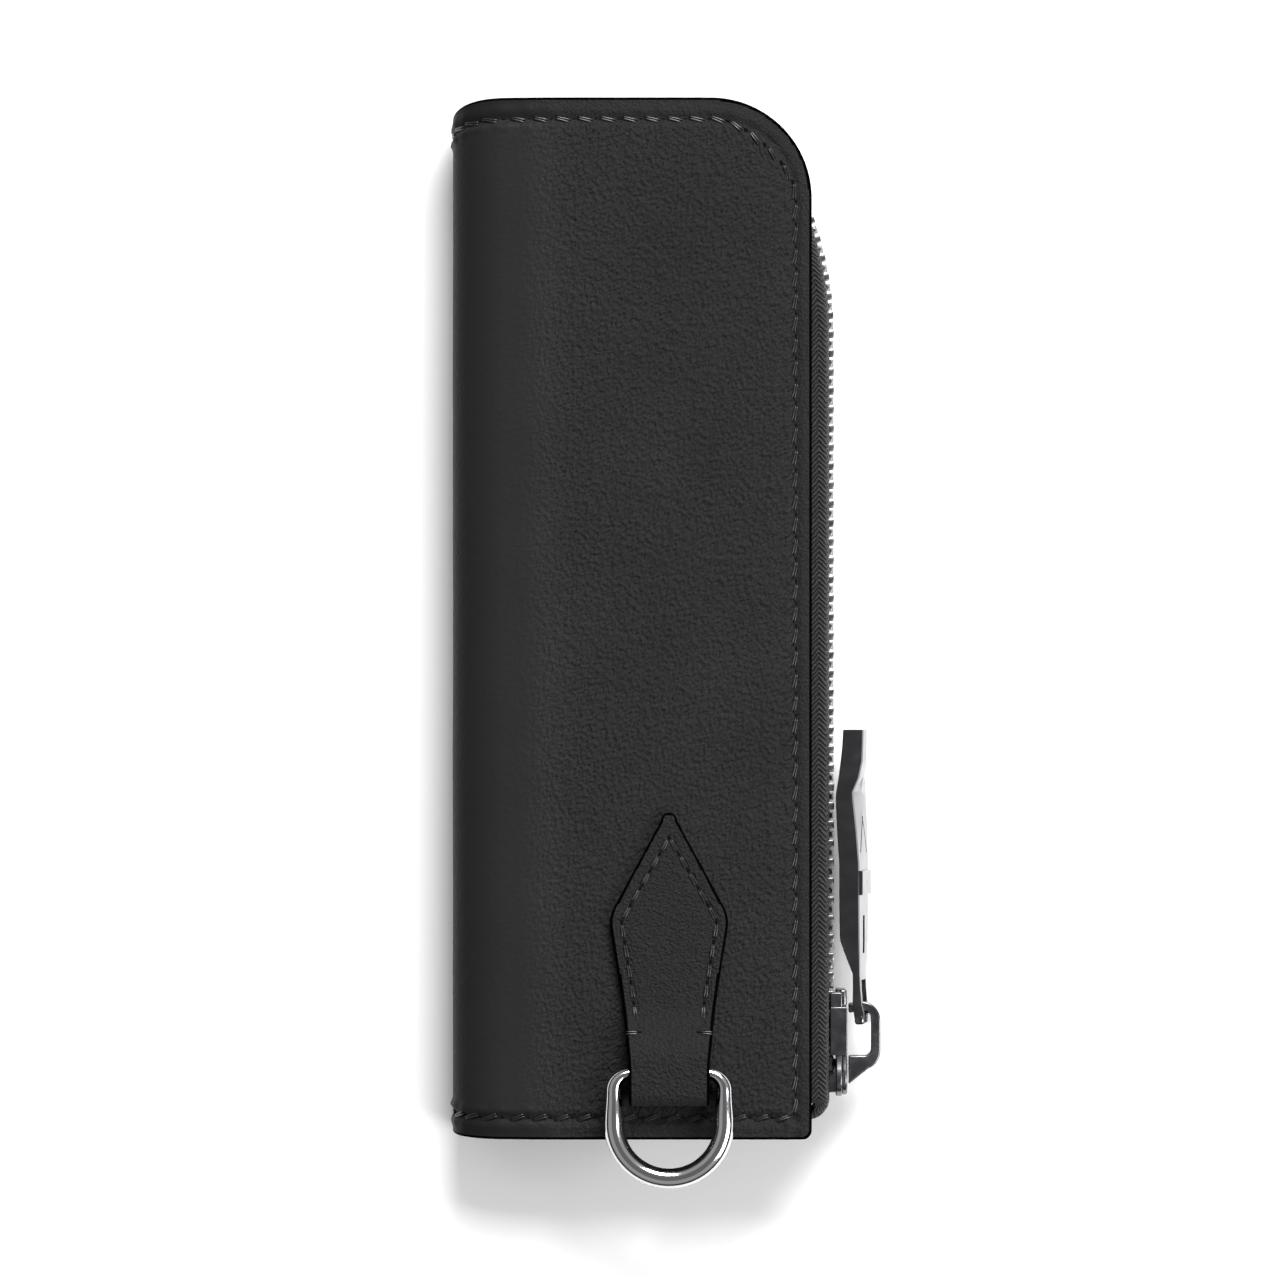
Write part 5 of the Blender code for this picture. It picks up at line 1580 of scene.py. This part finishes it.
class PENCASE_OT_tab(bpy.types.Operator):
    """Cuts the arrow-shaped tab and folds its strap round the ring's bar"""
    bl_idname = "pencase.tab"
    bl_label = "Ring tab"

    def execute(self, context):
        belongs(make_tab(), "case", "calf", "ring_tab")
        return {"FINISHED"}


class PENCASE_OT_sewing(bpy.types.Operator):
    """Sews the edges, the foot, the tab and its two tacks"""
    bl_idname = "pencase.sewing"
    bl_label = "Sewing"

    def execute(self, context):
        for piece, node in make_seams() + make_tab_stitches():
            belongs(piece, "case", "thread", node)
        return {"FINISHED"}


class PENCASE_OT_inside(bpy.types.Operator):
    """Makes the lining and both end gussets, and finishes the stiffening boards"""
    bl_idname = "pencase.inside"
    bl_label = "Lining, gussets and boards"

    def execute(self, context):
        lining, flat = make_lining()
        belongs(lining, "case", "lining", "lining")
        for piece, node in make_end_walls():
            belongs(piece, "case", "calf", node)
        for node in ("front_board", "back_board"):
            painted(frame["nodes"][node], finish_for("bonded_fibre_board", fibre_board))
        return {"FINISHED"}


class PENCASE_OT_tapes(bpy.types.Operator):
    """Bends both woven tapes from the teeth round and in under the panels"""
    bl_idname = "pencase.tapes"
    bl_label = "Zip tapes"

    def execute(self, context):
        for word, side in (("front", 1), ("back", -1)):
            tape, flat = make_tape(word + "_zip_tape", side)
            belongs(tape, "case", "tape", "zip_tape_" + word)
        return {"FINISHED"}


class PENCASE_OT_teeth(bpy.types.Operator):
    """Sets both rows of teeth and the three stops"""
    bl_idname = "pencase.teeth"
    bl_label = "Zip teeth and stops"

    def execute(self, context):
        for word, side in (("front", 1), ("back", -1)):
            node = "zip_teeth_" + word
            belongs(make_teeth(word + "_tooth_row", node, side), "case", "teeth", node)
            node = "zip_stop_" + word
            belongs(make_stop(word + "_stop", node, 0.86), "case", "teeth", node)
        belongs(make_stop("far_end_stop", "zip_end_stop", 0.88), "case", "teeth", "zip_end_stop")
        return {"FINISHED"}


class PENCASE_OT_slider(bpy.types.Operator):
    """Casts the slider and the bridge on it"""
    bl_idname = "pencase.slider"
    bl_label = "Slider"

    def execute(self, context):
        belongs(make_slider(), "slider", "plated", "slider_body")
        belongs(make_crown(), "slider", "plated", "slider_crown")
        return {"FINISHED"}


class PENCASE_OT_pull(bpy.types.Operator):
    """Shapes the long nib-shaped pull"""
    bl_idname = "pencase.pull"
    bl_label = "Pull"

    def execute(self, context):
        belongs(make_pull(), "pull", "plated", "pull_tab")
        return {"FINISHED"}


class PENCASE_OT_ring(bpy.types.Operator):
    """Bends the D-ring from round wire"""
    bl_idname = "pencase.ring"
    bl_label = "D-ring"

    def execute(self, context):
        belongs(make_ring(), "ring", "ring_metal", "d_ring")
        return {"FINISHED"}


class PENCASE_OT_stage(bpy.types.Operator):
    """Lays the floor, hangs the lights and sets the camera"""
    bl_idname = "pencase.stage"
    bl_label = "Stage"

    def execute(self, context):
        make_floor()
        make_lights()
        make_camera()
        return {"FINISHED"}


STEPS = (PENCASE_OT_stage, PENCASE_OT_leather, PENCASE_OT_tab, PENCASE_OT_inside, PENCASE_OT_tapes,
         PENCASE_OT_teeth, PENCASE_OT_slider, PENCASE_OT_pull, PENCASE_OT_ring, PENCASE_OT_sewing)


class PENCASE_PT_panel(bpy.types.Panel):
    """Lists the case's sizes, colours and pieces"""
    bl_idname = "PENCASE_PT_panel"
    bl_label = "Pen case"
    bl_space_type = "VIEW_3D"
    bl_region_type = "UI"
    bl_category = "Pen case"

    def draw(self, context):
        for group in (context.scene.pen_case_sizes, context.scene.pen_case_colours):
            box = self.layout.box()
            for key in group.__annotations__:
                box.prop(group, key)
        for step in STEPS:
            self.layout.operator(step.bl_idname)


CLASSES = (PenCaseSizes, PenCaseColours, *STEPS, PENCASE_PT_panel)


def register():
    for kind in CLASSES:
        bpy.utils.register_class(kind)
    bpy.types.Scene.pen_case_sizes = bpy.props.PointerProperty(type=PenCaseSizes)
    bpy.types.Scene.pen_case_colours = bpy.props.PointerProperty(type=PenCaseColours)


def unregister():
    del bpy.types.Scene.pen_case_colours
    del bpy.types.Scene.pen_case_sizes
    for kind in reversed(CLASSES):
        bpy.utils.unregister_class(kind)


def main():
    register()
    for step in STEPS:
        area, name = step.bl_idname.split(".")
        getattr(getattr(bpy.ops, area), name)()


if __name__ == "__main__":
    main()
